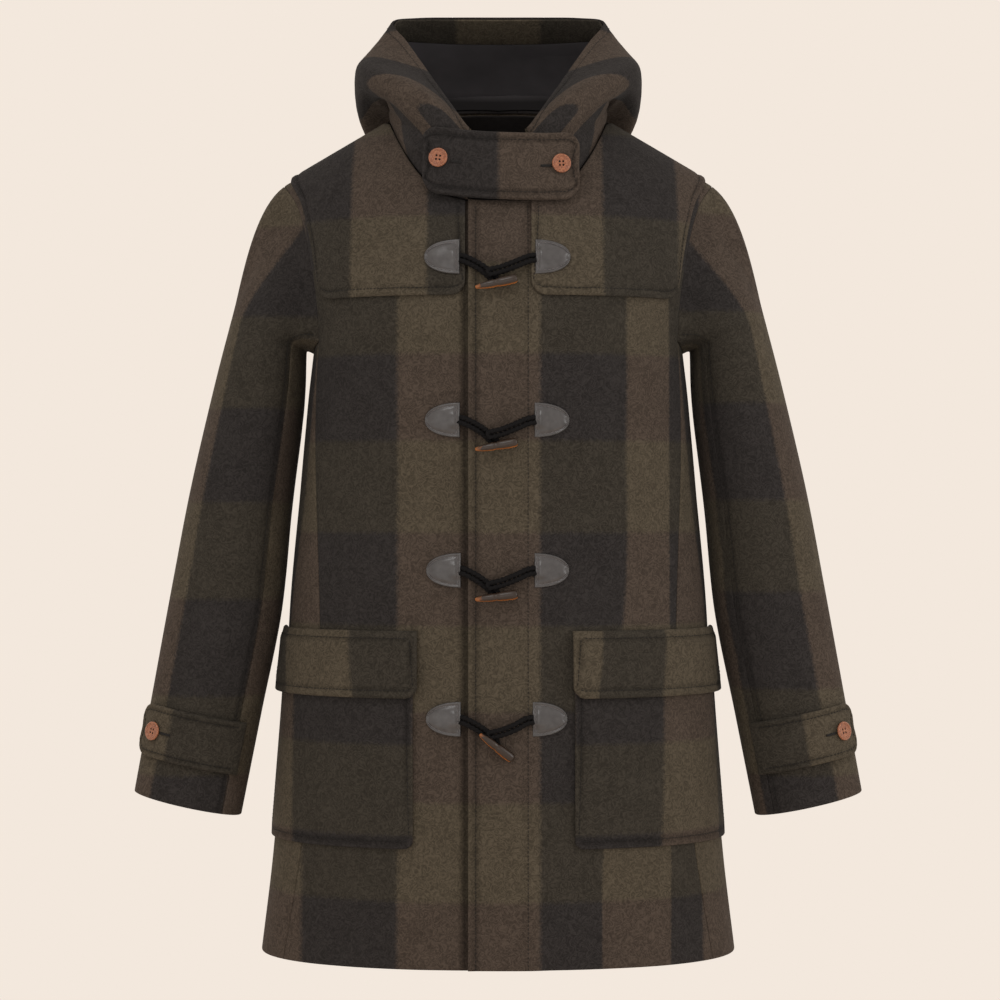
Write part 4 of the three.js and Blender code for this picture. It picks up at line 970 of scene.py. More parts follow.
def build_back_yoke():
    """One shoulder patch across the back, from armhole to armhole."""
    outer = NECK_X + FAN_WIDTH * YOKE["outer_share"]
    columns = outer - spread(2 * outer, 7)
    top = column_top(columns, False)
    share = spread(200, 6) / 200
    top = top - np.where(np.abs(columns) < NECK_X - 1, 2.0, 0)
    z = mix(float(YOKE["back_bottom"]), top[:, None], share[None, :])
    angle = column_angle(columns[:, None], z, False)
    base = body_point(angle, z)
    across, up, edge = grid_edge(base)
    surface = lambda out: on_body(angle, z, LAY + out)
    middle = across - across[len(across) // 2]
    checks = (block_number(middle, BACK_COLUMNS, 1), block_number(z, YOKE_ROWS))
    cloth("yoke_back_cloth", "yoke_back", surface, edge, CLOTH, checks, relief=groove(up),
          rows=[(up, STITCH_INSET, 1, None)])


def angle_from(start_x, distance, z):
    """The angle at a measured distance round the body from x = start_x: arc lengths added up in 120 steps."""
    start = angle_at_x(start_x, z)
    share = np.linspace(0, 1, 121)[:, None]
    fine = mix(start[None, :], np.pi * 0.75, share)
    arc = run_along(ring_point(fine, z[None, :] + 0 * fine))
    return np.stack([np.interp(distance, arc[:, k], fine[:, k]) for k in range(len(z))], -1)


def pocket_grid(side, sizes, across, rows_mm):
    """Angles and heights of a pocket piece laid round the body, from its inner edge's x and its width."""
    inner, width = across
    distance = spread(width, 5)
    height = sizes["top"] - sizes["bottom"]
    z_line = sizes["bottom"] + spread(height, rows_mm)
    cut = corner_cut(np.minimum(distance, width - distance), sizes["corner"])
    share = (z_line - sizes["bottom"]) / height
    z = mix(sizes["bottom"] + cut[:, None], sizes["top"], share[None, :])
    return angle_from(inner, distance, z_line) * SIGN[side], z


# Edges of the columns of checks by mm from each piece's inner edge, and the first one's number
BAG_COLUMNS = {"right": ([-1, 150], 1), "left": ([-1, 99, 193], 1)}
FLAP_COLUMNS = {"right": ([-1, 74, 168], 1), "left": ([-10, 31, 102, 196], 0)}
CUFF_COLUMNS = {"right": ([-1, 75], 1), "left": ([-1, 53], 1)}
BAG_ROW = -674
PALE_ROW, DARK_ROW = 20.5, 21.5  # the middle of a row of either kind


def build_pocket(side):
    """A bag with rounded lower corners, and its flap, which stands off the bag a little more below."""
    angle, z = pocket_grid(side, POCKET, BAG_ACROSS[side], 6)
    base = body_point(angle, z)
    across, up, edge = grid_edge(base)
    stitched = np.minimum(np.minimum(across, across[-1] - across), up)
    wide, high = np.clip(across / across[-1], 0, 1), np.clip(up / 210, 0, 1)
    full = 1.6 * np.sin(np.pi * wide) * np.sin(np.pi * high) ** 0.5
    surface = lambda out: on_body(angle, z, LAY + out + full * (out > CLOTH / 2))
    checks = (block_number(across, *BAG_COLUMNS[side]), block_number(z, [BAG_ROW], 1))
    cloth(f"pocket_{side}_cloth", f"pocket_{side}", surface, edge, CLOTH, checks, relief=groove(stitched),
          rows=around(across, up)[:3])

    angle, z = pocket_grid(side, FLAP, FLAP_ACROSS[side], 4)
    base = body_point(angle, z)
    across, up, edge = grid_edge(base)
    height = FLAP["top"] - FLAP["bottom"]
    down = np.clip((FLAP["top"] - z) / height, 0, 1)
    lift = LAY + (CLOTH + SEAM_GAP) * smooth(down, 0.02, 0.2) + 3 * np.maximum(down - 0.2, 0)
    wave = 0.9 * np.sin(across / 31.0) * smooth(down, 0.3, 1)
    surface = lambda out: on_body(angle, z, lift + wave + out)
    checks = (block_number(across, *FLAP_COLUMNS[side]), PALE_ROW + 0 * z)
    cloth(f"pocket_flap_{side}_cloth", f"pocket_flap_{side}", surface, edge, FLAP["thickness"], checks,
          relief=groove(edge, STITCH_INSET, 1.0, 1.9),
          rows=around(across, up))


def tab_point(x, z, out):
    """The throat tab: a parabola in x bridging both fronts, leaning back as it rises and bowed down midway."""
    y = TAB_Y + TAB_CURVE * x**2 + TAB_LEAN * (z - TAB["bottom"])
    base = np.stack([x, y, z - TAB_BOW * (1 - (x / TAB["left"]) ** 2) - TAB_SLANT * x], -1)
    slope_x, slope_z = 2 * TAB_CURVE * x, TAB_LEAN + 0 * x
    normal = unit(np.stack([slope_x, -1 + 0 * x, slope_z], -1))
    return base + normal * np.asarray(out)[..., None]


def build_throat_tab():
    """A doubled tab with rounded ends, stitched 8 mm inside its edge."""
    width, height = TAB["left"] - TAB["right"], TAB["top"] - TAB["bottom"]
    x = TAB["right"] + spread(width, 3.5, edge=3)
    cut = corner_cut(np.minimum(x - TAB["right"], TAB["left"] - x), TAB["corner"])
    share = spread(height, 3.5, edge=3) / height
    z = mix((TAB["bottom"] + cut)[:, None], (TAB["top"] - cut)[:, None], share[None, :])
    x = x[:, None] + 0 * z
    across, up, edge = grid_edge(tab_point(x, z, 0 * z))
    wave = (0.8 * np.sin(x / 23.0 + 0.6) + 0.6 * np.sin(x / 41.0 - z / 60.0)) * (1 - smooth(np.abs(x), 30, 50))
    surface = lambda out: tab_point(x, z, out + wave)
    checks = (block_number(x, [0.5, 88], 0), DARK_ROW + 0 * z)
    cloth("throat_tab_cloth", "throat_tab", surface, edge, TAB["thickness"], checks,
          relief=groove(edge, STITCH_INSET, 1.3, 2.2), rows=around(across, up))


def cuff_point(side, distance, drop, out):
    """A place on a cuff tab, by mm round the sleeve from its front seam and mm down from the tab's top."""
    turn = CUFF_TAB["seam_turn"] - distance / CUFF_MM_PER_DEGREE
    return on_sleeve(side, turn, CUFF_TAB["top"] + drop / SLEEVE_STEP, out)


def build_cuff_tab(side):
    """A doubled tab round the outside of each cuff, with one rounded end."""
    distance = spread(CUFF_TAB["length"], 3.5, edge=2.5)
    cut = corner_cut(CUFF_TAB["length"] - distance, CUFF_TAB["corner"])
    share = spread(CUFF_TAB["height"], 3.5, edge=2.5) / CUFF_TAB["height"]
    drop = mix((CUFF_TAB["height"] - cut)[:, None], cut[:, None], share[None, :])
    distance = distance[:, None] + 0 * drop
    across, up, edge = grid_edge(cuff_point(side, distance, drop, 0 * drop))
    stitched = np.where(distance < 12, 30, edge)
    surface = lambda out: cuff_point(side, distance, drop, LAY + out)
    checks = (block_number(distance, *CUFF_COLUMNS[side]), PALE_ROW + 0 * drop)
    cloth(f"cuff_tab_{side}_cloth", f"cuff_tab_{side}", surface, edge, CUFF_TAB["thickness"], checks,
          relief=groove(stitched, CUFF_STITCH_INSET, 0.9, 1.7),
          rows=around(across, up, CUFF_STITCH_INSET)[1:])


# Buttonholes, in millimetres: both ends' x on the throat tab, and the near end's distance from a cuff's button
THROAT_HOLES = {"right": (-48.5, -37.5), "left": (43.5, 54.5)}
THROAT_HOLE_Z = -66.0
CUFF_HOLE_FROM_BUTTON = 9
BUTTONHOLE = {"length": 11, "radius": 0.75, "half_apart": 0.6}


def build_buttonhole(name, line):
    """A worked buttonhole: two rows of thread side by side along a short line."""
    radius, shift = BUTTONHOLE["radius"] + 0 * line[:, 0], BUTTONHOLE["half_apart"]
    rows = [tube(line + (0, 0, aside), radius, 8, (0, -1, 0)) for aside in (-shift, shift)]
    piece(name, *joined(rows), "thread", slot="wool")


def build_buttonholes():
    """One beside each button of the throat tab and of the cuff tabs."""
    t = np.linspace(0, 1, 9)
    near, middle = CUFF_BUTTON_AT - CUFF_HOLE_FROM_BUTTON, CUFF_TAB["height"] / 2
    on_cuff = LAY + CUFF_TAB["thickness"] + 0.4
    for side, ends in THROAT_HOLES.items():
        line = tab_point(mix(*ends, t), THROAT_HOLE_Z + 0 * t, TAB["thickness"] + 0.8)
        build_buttonhole(f"throat_buttonhole_{side}", line)
        line = cuff_point(side, near - BUTTONHOLE["length"] * t, middle + 0 * t, on_cuff)
        build_buttonhole(f"cuff_buttonhole_{side}", line)


# Buttons, patches, toggles and cords, in millimetres
BUTTON = {"radius": 10, "thickness": 3.6, "dish": 1.2, "rim": 2.4, "hole": 1.05, "hole_spread": 1.9}
PATCH = {"width": 36, "half_height": 18, "roundness": 2.2, "thickness": 1.8, "dome": 2.4, "stitch_inset": 3.2}
TOGGLES = {
    "z": [-169, -337, -493, -647],
    "right_x": [-39.5, -39.5, -38.4, -38.4],
    "left_x": [38, 37.5, 37.5, 35.5],
    "turn": [12, 10, 7, -38],
    "forward": [0, 0, 0, 12],
}
TOGGLE = {"length": 44, "thick": 5, "waist": 3.9}
# A toggle's radius in millimetres by its share of the length, from its thin end
TOGGLE_TURNING = {
    "along": [0, 0.008, 0.02, 0.2, 0.42, 0.5, 0.6, 0.86, 0.97, 1.0],
    "radius": [0.3, 1.0, 1.7, 3.3, 4.2, TOGGLE["waist"], 4.7, TOGGLE["thick"], 4.4, 3.2],
}
TOGGLE_X = -2
TOGGLE_DROP = 27
CORD_RADIUS = 2.5
CORD_LIFT = CORD_RADIUS + 0.6
LAP_OUT = CLOTH + SEAM_GAP + CORD_LIFT


def close_round(grid):
    """Points and outward quads of a grid that closes on itself along its second axis, with flat ends."""
    n, m = grid.shape[:2]
    at = np.arange(n * m).reshape(n, m)
    after = np.roll(at, -1, axis=1)
    quads = np.stack([at[:-1], after[:-1], after[1:], at[1:]], -1).reshape(-1, 4).tolist()
    faces = quads + [at[0, ::-1].tolist(), at[-1].tolist()]
    points = grid.reshape(-1, 3)
    if volume_of(points, np.array(quads)) < 0:
        faces = [face[::-1] for face in faces]
    return points, faces


def piece(name, points, faces, finish, node=None, slot=None, layers=None):
    """A solid piece with its finish, on the coat's one body, in place of a CAD node where one is named."""
    made = add_mesh(name, points, faces, layers)
    made.data.materials.append(material(finish))
    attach(made, "root")
    if node:
        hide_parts(node)
    return made


def button_place(kind, side):
    """A button's middle, its outward direction and the direction across it."""
    if kind == "throat":
        at = lambda dx, out: tab_point(np.array(TAB_BUTTONS[side] + dx), np.array(TAB_BUTTONS["z"]), out)
        surface = TAB["thickness"]
    else:
        middle = np.array(CUFF_TAB["height"] / 2)
        at = lambda dx, out: cuff_point(side, np.array(CUFF_BUTTON_AT + dx), middle, np.array(out))
        surface = LAY + CUFF_TAB["thickness"]
    here = at(0.0, surface + SEAM_GAP)
    return here, unit(at(0.0, surface + 1.0) - at(0.0, surface)), unit(at(1.0, surface) - at(-1.0, surface))


def build_button(kind, side):
    """A turned disc: height h(r) with a rolled rim and a dish, less four holes with knots of thread in them."""
    turn = np.linspace(0, 2 * np.pi, 96, endpoint=False)
    radius, high = BUTTON["radius"], BUTTON["thickness"]
    inner = radius - BUTTON["rim"]
    r = np.concatenate([np.linspace(0.02, 4.2, 26), np.linspace(4.5, radius, 26)])
    rim = high - 0.9 * ((r - (radius + inner) / 2) / (BUTTON["rim"] / 2)) ** 2 * (r > inner)
    face = mix(high - BUTTON["dish"], rim, smooth(r, inner - 1.2, inner + 0.6))
    x, y = r[:, None] * np.cos(turn), r[:, None] * np.sin(turn)
    spot = np.hypot(np.abs(x) - BUTTON["hole_spread"], np.abs(y) - BUTTON["hole_spread"])
    top = face[:, None] - 1.9 * (1 - smooth(spot, BUTTON["hole"] - 0.25, BUTTON["hole"] + 0.2))
    front = np.stack([x, y, top], -1)
    wall = [(radius, 1.6), (radius - 0.4, 0.8), (radius - 1.6, 0.0), (0.02, 0.0)]
    back = np.stack([np.stack([w * np.cos(turn), w * np.sin(turn), h + 0 * turn], -1) for w, h in wall])
    points, faces = close_round(np.concatenate([front, back]))
    here, up, right = button_place(kind, side)
    turned = np.stack([right, np.cross(up, right), up])
    name = f"{kind}_button_{side}"
    piece(f"{name}_horn", here + points @ turned, faces, "button", node=name)

    rise = np.linspace(0.7, high - BUTTON["dish"] - 0.5, 4)
    corners = BUTTON["hole_spread"] * np.array([(-1, -1), (-1, 1), (1, -1), (1, 1)])
    lines = [np.stack([cx + 0 * rise, cy + 0 * rise, rise], -1) for cx, cy in corners]
    tubes = [tube(line, BUTTON["hole"] + 0 * rise, 10, (1, 0, 0)) for line in lines]
    points, faces = joined(tubes)
    piece(f"{name}_thread", here + points @ turned, faces, "thread", slot="button")


def tube(line, radius, sides, facing, twist=0.0, lobes=0, bulge=0.0):
    """A grid round a line: r (1 + bulge cos(lobes (a - twist s))), with a the turn and s the length along it.

    The line never runs along facing, which a is counted from.
    """
    way = unit(np.gradient(line, axis=0))
    across = unit(np.cross(way, facing))
    other = np.cross(across, way)
    turn = np.linspace(0, 2 * np.pi, sides, endpoint=False)
    length = run_along(line)
    wave = 1 + bulge * np.cos(lobes * (turn[None, :] - twist * length[:, None])) if lobes else 1.0
    size = (np.asarray(radius)[:, None] * wave)[..., None]
    ring = across[:, None] * np.cos(turn)[:, None] + other[:, None] * np.sin(turn)[:, None]
    return line[:, None] + size * ring


def joined(grids):
    """Several closed grids as one list of points and faces."""
    points, faces, start = [], [], 0
    for grid in grids:
        some, quads = close_round(grid)
        points.append(some)
        faces += [[start + i for i in face] for face in quads]
        start += len(some)
    return np.concatenate(points), faces


def cloth_top(x, z):
    """How far the uppermost cloth at a place stands off the body."""
    yoke = CLOTH + LAY if abs(x) > YOKE["inner"] and z > YOKE["bottom"] else 0
    return float(lap_lift(np.array(float(x)))) + yoke


def build_patch(side, row):
    """A leather patch: a half superellipse, domed over the cord's ends, its rim pressed down by stitches."""
    sign = SIGN[side]
    edge_x, row_z = TOGGLES[f"{side}_x"][row], TOGGLES["z"][row]
    across = spread(PATCH["width"] - 0.02, 0.9, edge=0.9)
    power = PATCH["roundness"]
    half = PATCH["half_height"] * (1 - (across / PATCH["width"]) ** power) ** (1 / power)
    share = spread(2, 0.055, edge=0.055) - 1
    z = row_z + half[:, None] * share[None, :]
    across = across[:, None] + 0 * z
    x = edge_x + sign * across
    angle = angle_at_x(x, z)
    grid_across, up, edge = grid_edge(body_point(angle, z))
    lift = cloth_top(edge_x + sign * PATCH["width"] / 2, row_z)
    from_middle = (across - PATCH["width"] * 0.45) / PATCH["width"]
    dome = PATCH["dome"] * np.maximum(1 - share[None, :] ** 2 - 3 * from_middle**2, 0)
    over_cord = 3.0 * np.exp(-((across / 11) ** 2)) * np.exp(-(((z - row_z) / 8.0) ** 4))
    relief = dome * smooth(edge, 1.5, 7) + over_cord + groove(edge, PATCH["stitch_inset"], 0.6, 1.0)
    surface = lambda out: on_body(angle, z, lift + LAY + out)
    draw_in = rounding(edge, PATCH["thickness"])
    front, back = surface(PATCH["thickness"] - draw_in + relief), surface(draw_in)
    points = np.concatenate([front.reshape(-1, 3), back.reshape(-1, 3)])
    quads = outward(points, shell_faces(front.shape[:2]))
    name = f"toggle_patch_{side}_{row + 1}"
    piece(f"{name}_leather", points, quads, "leather", node=name)
    rows = around(grid_across, up, PATCH["stitch_inset"])
    add_stitches(f"{name}_stitches", front, back, [rows[0], *rows[2:]], "pale_thread", "leather")


def cord_line(middle, row_z):
    """A doubled cord: out on one side of a middle line, round its end and back, through points on the front."""
    half = CORD_RADIUS + SEAM_GAP / 2 + 0.05
    flat = np.array([[x, z] for x, z, _ in middle], float)
    out = np.array([o for _, _, o in middle], float)
    count = len(flat)
    ways = unit(flat[np.minimum(np.arange(count) + 1, count - 1)] - flat[np.maximum(np.arange(count) - 1, 0)])
    across = np.stack([-ways[:, 1], ways[:, 0]], -1) * half
    round_end = ((0.5, 0.866), (1, 0), (0.5, -0.866))
    tip = [flat[-1] + ways[-1] * half * on + across[-1] * off for on, off in round_end]
    route = np.concatenate([flat + across, tip, (flat - across)[::-1]])
    lifts = np.concatenate([out, [out[-1]] * 3, out[::-1]])
    z = row_z + route[:, 1]
    base = body_point(angle_at_x(route[:, 0], z), z)
    base[:, 1] -= body_relief(base)
    knots = np.stack([route[:, 0], base[:, 1] - lifts, z], -1)
    return curve_through(knots, 0.8)


def curve_through(knots, step):
    """A centripetal Catmull-Rom curve through points, read at even steps of length."""
    knots = np.concatenate([[2 * knots[0] - knots[1]], knots, [2 * knots[-1] - knots[-2]]])
    t = np.linspace(0, 1, 40, endpoint=False)[:, None]
    parts = [catmull_rom(knots[k : k + 4], t) for k in range(len(knots) - 3)]
    fine = np.concatenate([*parts, knots[-2:-1]])
    place = run_along(fine)
    even = np.linspace(0, place[-1], int(place[-1] / step) + 1)
    return np.stack([np.interp(even, place, fine[:, k]) for k in range(3)], -1)


def build_fastening(row):
    """One toggle fastening: its two patches, the toggle on its doubled cord, and the loop that it goes through.

    The cords' middle lines have points of x, height over the row and height over the body, from their patches.
    """
    z, right_x, left_x = TOGGLES["z"][row], TOGGLES["right_x"][row], TOGGLES["left_x"][row]
    for side in SIGN:
        build_patch(side, row)
    right_out = cloth_top(right_x - 2, z) + CORD_LIFT
    left_out = cloth_top(left_x, z) + CORD_LIFT
    over = LAP_OUT + 2 * CORD_RADIUS + SEAM_GAP + 0.1
    routes = {
        "toggle_cord": [
            (right_x - 1.2, 0, right_out),
            (right_x + 5, -1.5, max(right_out, LAP_OUT + 1.4)),
            (-19, -9.5, LAP_OUT),
            (-9, -17.5, LAP_OUT),
            (TOGGLE_X - 0.5, 2.5 - TOGGLE_DROP, LAP_OUT),
        ],
        "toggle_loop": [
            (left_x + 1.2, 0, left_out),
            (left_x - 6, -1.2, max(left_out, LAP_OUT + 1)),
            (17, -7.5, over),
            (4, -12.5, over),
            (-8, -15.5, over),
        ],
    }
    for name, route in routes.items():
        line = cord_line(route, z)
        radius = np.full(len(line), CORD_RADIUS)
        grid = tube(line, radius, 30, (0, -1, 0), twist=0.42, lobes=3, bulge=0.15)
        node = f"{name}_{row + 1}"
        piece(f"{node}_cord", *close_round(grid), "cord", node=node)

    t = np.concatenate([[0, 0.004, 0.01], np.linspace(0.02, 0.97, 60), [0.98, 0.99, 1.0]])
    radius = np.maximum(read(TOGGLE_TURNING, t)["radius"], TOGGLE_TURNING["radius"][0])
    turn = np.linspace(0, 2 * np.pi, 48, endpoint=False)
    wave = 1 + 0.02 * np.sin(2 * turn[None, :] + 5 * t[:, None] + row)
    across, height = radius[:, None] * wave, (t[:, None] - 0.5) * TOGGLE["length"] + 0 * turn
    grid = np.stack([across * np.cos(turn), across * np.sin(turn), height], -1)
    tilt, lean = math.radians(TOGGLES["turn"][row]), math.radians(TOGGLES["forward"][row])
    way = np.array([math.cos(tilt) * math.cos(lean), math.sin(lean), math.sin(tilt) * math.cos(lean)])
    side = unit(np.cross(way, [0.0, 1.0, 0.0]))
    points, faces = close_round(grid)
    depth = float(body_point(np.array(0.0), np.array(float(z - TOGGLE_DROP)))[1])
    out = LAP_OUT + CORD_RADIUS + SEAM_GAP + TOGGLE["waist"]
    middle = np.array([TOGGLE_X, depth - out, z - TOGGLE_DROP])
    placed = middle + points @ np.stack([side, np.cross(way, side), way])
    grain = np.stack([(t[:, None] + 0 * turn).ravel(), (0 * t[:, None] + turn / (2 * np.pi)).ravel()], -1)
    node = f"toggle_{row + 1}"
    piece(f"{node}_horn", placed, faces, "horn", node=node, layers={"grain": grain})


def linear(colour):
    """An sRGB colour as six hex digits, turned into linear RGBA."""
    parts = [int(colour[k : k + 2], 16) / 255 for k in (0, 2, 4)]
    return [c / 12.92 if c <= 0.04045 else ((c + 0.055) / 1.055) ** 2.4 for c in parts] + [1.0]


def feed(tree, made, inputs):
    """Sets a node's sockets, by name or number, to values or links them to the outputs that feed them."""
    for name, value in inputs.items():
        if isinstance(value, bpy.types.NodeSocket):
            tree.links.new(value, made.inputs[name])
        else:
            made.inputs[name].default_value = value


def node(tree, kind, inputs=None, **settings):
    """Adds a node with its properties and what feeds its sockets."""
    made = tree.nodes.new(kind)
    for name, value in settings.items():
        setattr(made, name, value)
    feed(tree, made, inputs or {})
    return made


def between(tree, factor, low, high):
    """The colour between two, each a colour list or an output, by a factor."""
    return node(tree, "ShaderNodeMix", {"Factor": factor, 6: low, 7: high}, data_type="RGBA").outputs[2]


def maths(tree, operation, *values, clamp=False):
    """The output of a Math node on values or outputs."""
    made = node(tree, "ShaderNodeMath", dict(enumerate(values)), operation=operation, use_clamp=clamp)
    return made.outputs[0]


def noise(tree, size_mm, detail=2.0, distortion=0.0, roughness=0.5):
    """Noise on object coordinates with features about size_mm across."""
    place = node(tree, "ShaderNodeTexCoord").outputs["Object"]
    scale = 1000 / size_mm
    inputs = {"Scale": scale, "Detail": detail, "Distortion": distortion, "Roughness": roughness}
    return node(tree, "ShaderNodeTexNoise", {"Vector": place, **inputs}).outputs[0]


def parts_of(tree, layer):
    """The two coordinates of a UV layer."""
    place = node(tree, "ShaderNodeUVMap", uv_map=layer).outputs[0]
    return node(tree, "ShaderNodeSeparateXYZ", {0: place}).outputs


def near_middle(tree, value, width):
    """1 on the contour where a noise is a half, fading to 0 over width: a curly line."""
    off = maths(tree, "ABSOLUTE", maths(tree, "SUBTRACT", value, 0.5))
    return maths(tree, "SUBTRACT", 1.0, maths(tree, "DIVIDE", off, width), clamp=True)


def contours(tree, value, count):
    """Curly lines round the levels of a noise: 0 to 1 as half of one plus its sine."""
    wave = maths(tree, "SINE", maths(tree, "MULTIPLY", value, 2 * math.pi * count))
    return maths(tree, "ADD", maths(tree, "MULTIPLY", wave, 0.7), 0.4, clamp=True)


def bump(tree, height, strength, depth_mm):
    """A bump normal from a height, with its full height in millimetres."""
    inputs = {"Height": height, "Strength": strength, "Distance": depth_mm * MM}
    return node(tree, "ShaderNodeBump", inputs).outputs[0]


def chosen(name):
    """A colour from the panel, with full opacity."""
    return (*getattr(bpy.context.scene.coat_colours, name), 1.0)


def wool_nodes(tree):
    """Felted wool melton, woven in blocks and fulled: soft block edges, pale curly fibres and a matt nap, with
    painted shade where the cloth dips into grooves.
    """
    marks = parts_of(tree, "checks")
    fuzz = maths(tree, "MULTIPLY", maths(tree, "SUBTRACT", noise(tree, 2.4, 3.0, 0.6), 0.5), 0.10)
    masks = []
    for axis in (0, 1):
        place = maths(tree, "ADD", marks[axis], fuzz)
        wave = maths(tree, "SINE", maths(tree, "MULTIPLY", place, math.pi))
        masks.append(maths(tree, "ADD", maths(tree, "MULTIPLY", wave, 6.0), 0.5, clamp=True))
    column, row = masks
    dark = between(tree, row, chosen("charcoal"), chosen("grey_green"))
    light = between(tree, row, chosen("brown"), chosen("olive"))
    ground = between(tree, column, dark, light)
    curls = contours(tree, noise(tree, 9.0, 0.6, 1.1), 5.0)
    short = contours(tree, noise(tree, 5.0, 0.4, 1.4), 2.5)
    lines = maths(tree, "ADD", maths(tree, "MULTIPLY", curls, 0.6), maths(tree, "MULTIPLY", short, 0.4))
    mottle = maths(tree, "MULTIPLY", noise(tree, 30.0, 3.0, 0.5), 0.3)
    shade = maths(tree, "ADD", maths(tree, "MULTIPLY", lines, 0.55), maths(tree, "SUBTRACT", 0.88, mottle))
    # Painted shade: up to 85% darker where the relief dips into stitch grooves and troughs
    dip = maths(tree, "MULTIPLY", parts_of(tree, "dip")[0], 0.85)
    shade = maths(tree, "MULTIPLY", shade, maths(tree, "SUBTRACT", 1.0, dip))
    colour = node(tree, "ShaderNodeHueSaturation", {"Color": ground, "Value": shade}).outputs[0]
    height = maths(tree, "ADD", noise(tree, 1.3, 3.0, 0.4, 0.7), maths(tree, "MULTIPLY", lines, 0.8))
    return {
        "Base Color": colour,
        "Normal": bump(tree, height, 0.7, 0.4),
        "Roughness": 0.95,
        "Specular IOR Level": 0.08,
        "Sheen Weight": 0.02,
        "Sheen Roughness": 0.4,
    }


def reverse_painted_shade_nodes(tree):
    """The coat's inner face: the same melton left unbrushed, its near-black a painted shade for where the neck
    opening shows it in shadow.
    """
    shade = between(tree, noise(tree, 5.0, 3.0), linear("1C1A1B"), chosen("reverse"))
    return {
        "Base Color": shade,
        "Normal": bump(tree, noise(tree, 1.4, 3.0), 0.4, 0.4),
        "Roughness": 0.95,
        "Specular IOR Level": 0.1,
    }


def lining_nodes(tree):
    """Near-black viscose twill lining: fine diagonal ribs and a faint satin light, with painted shade making it
    darker down at the neck.
    """
    place = node(tree, "ShaderNodeTexCoord").outputs["Object"]
    inputs = {"Vector": place, "Scale": 420.0, "Distortion": 0.3, "Detail": 1.0}
    ribs = node(tree, "ShaderNodeTexWave", inputs, bands_direction="DIAGONAL").outputs[1]
    shade = between(tree, noise(tree, 30.0), linear("47464A"), chosen("lining"))
    # Painted shade: near-black below 22 mm up, where little light reaches the lining at the neck
    height = node(tree, "ShaderNodeSeparateXYZ", {0: place}).outputs[2]
    lit = maths(tree, "MULTIPLY", maths(tree, "SUBTRACT", height, 0.022), 40.0, clamp=True)
    shade = between(tree, lit, linear("121113"), shade)
    return {
        "Base Color": shade,
        "Normal": bump(tree, ribs, 0.2, 0.15),
        "Roughness": 0.8,
        "Specular IOR Level": 0.15,
    }


def leather_nodes(tree):
    """Grey-black cowhide, pressed and waxed: a fine pebbled grain with a soft shine on its domes."""
    cells = {"Vector": node(tree, "ShaderNodeTexCoord").outputs["Object"], "Scale": 900.0}
    grain = node(tree, "ShaderNodeTexVoronoi", cells).outputs[0]
    shade = between(tree, noise(tree, 6.0, 3.0), linear("222124"), chosen("leather"))
    return {
        "Base Color": shade,
        "Normal": bump(tree, grain, 0.35, 0.12),
        "Roughness": 0.3,
        "Specular IOR Level": 0.7,
    }


def cord_nodes(tree):
    """Black waxed cotton cord, three strands twisted: fine fibres and a low shine."""
    shade = between(tree, noise(tree, 1.6, 3.0), linear("060607"), chosen("cord"))
    return {
        "Base Color": shade,
        "Normal": bump(tree, noise(tree, 0.9, 2.0), 0.7, 0.3),
        "Roughness": 0.8,
        "Specular IOR Level": 0.15,
    }


def horn_nodes(tree):
    """Buffalo horn, turned and polished: near-black at its thick end, streaked to amber at its tip."""
    grain = parts_of(tree, "grain")
    along = maths(tree, "ADD", grain[0], maths(tree, "MULTIPLY", noise(tree, 9.0, 2.0, 1.0), 0.5))
    dark = maths(tree, "MULTIPLY", maths(tree, "SUBTRACT", along, 0.2), 6.0, clamp=True)
    from_below = maths(tree, "ABSOLUTE", maths(tree, "SUBTRACT", grain[1], 0.47))
    above = maths(tree, "MULTIPLY", maths(tree, "SUBTRACT", from_below, 0.03), 14.0, clamp=True)
    streaks = between(tree, noise(tree, 2.5, 4.0, 2.0), linear("120D0B"), linear("3A2C23"))
    colour = between(tree, maths(tree, "MULTIPLY", dark, above), chosen("horn_tip"), streaks)
    return {
        "Base Color": colour,
        "Roughness": 0.28,
        "Specular IOR Level": 0.45,
    }


def button_nodes(tree):
    """Polyester resin button, cast to look like marbled brown horn and polished."""
    swirl = noise(tree, 6.0, 3.0, 2.4)
    brown = between(tree, swirl, linear("552C1E"), chosen("button"))
    colour = between(tree, near_middle(tree, noise(tree, 4.0, 2.0, 3.0), 0.05), brown, linear("B87F5C"))
    return {
        "Base Color": colour,
        "Roughness": 0.28,
        "Specular IOR Level": 0.55,
    }


def thread_nodes(tree):
    """Spun polyester sewing thread, dyed to the coat's charcoal."""
    return {"Base Color": chosen("thread"), "Roughness": 0.7, "Specular IOR Level": 0.3}


def pale_thread_nodes(tree):
    """Waxed linen thread in mid grey, which shows as a paler line round each leather patch."""
    return {"Base Color": linear("6A6668"), "Roughness": 0.55, "Specular IOR Level": 0.4}


def paper_nodes(tree):
    """Seamless background paper, matt and warm white."""
    return {"Base Color": chosen("paper"), "Roughness": 0.9, "Specular IOR Level": 0.1}


MATERIALS = {
    "wool": ("Felted wool melton, block check", wool_nodes),
    "reverse": ("Felted wool melton, reverse in painted shade", reverse_painted_shade_nodes),
    "lining": ("Viscose twill lining", lining_nodes),
    "leather": ("Cowhide, pressed and waxed", leather_nodes),
    "cord": ("Cotton cord, waxed and twisted", cord_nodes),
    "horn": ("Buffalo horn, turned and polished", horn_nodes),
    "button": ("Polyester resin, marbled", button_nodes),
    "thread": ("Polyester sewing thread", thread_nodes),
    "pale_thread": ("Linen thread, waxed", pale_thread_nodes),
    "paper": ("Seamless paper, warm white", paper_nodes),
}


def material(name):
    """A named material, made the first time that it is asked for."""
    title, paint = MATERIALS[name]
    made = bpy.data.materials.get(title)
    if made is None:
        made = bpy.data.materials.new(title)
        made.use_nodes = True
        feed(made.node_tree, made.node_tree.nodes["Principled BSDF"], paint(made.node_tree))
    return made


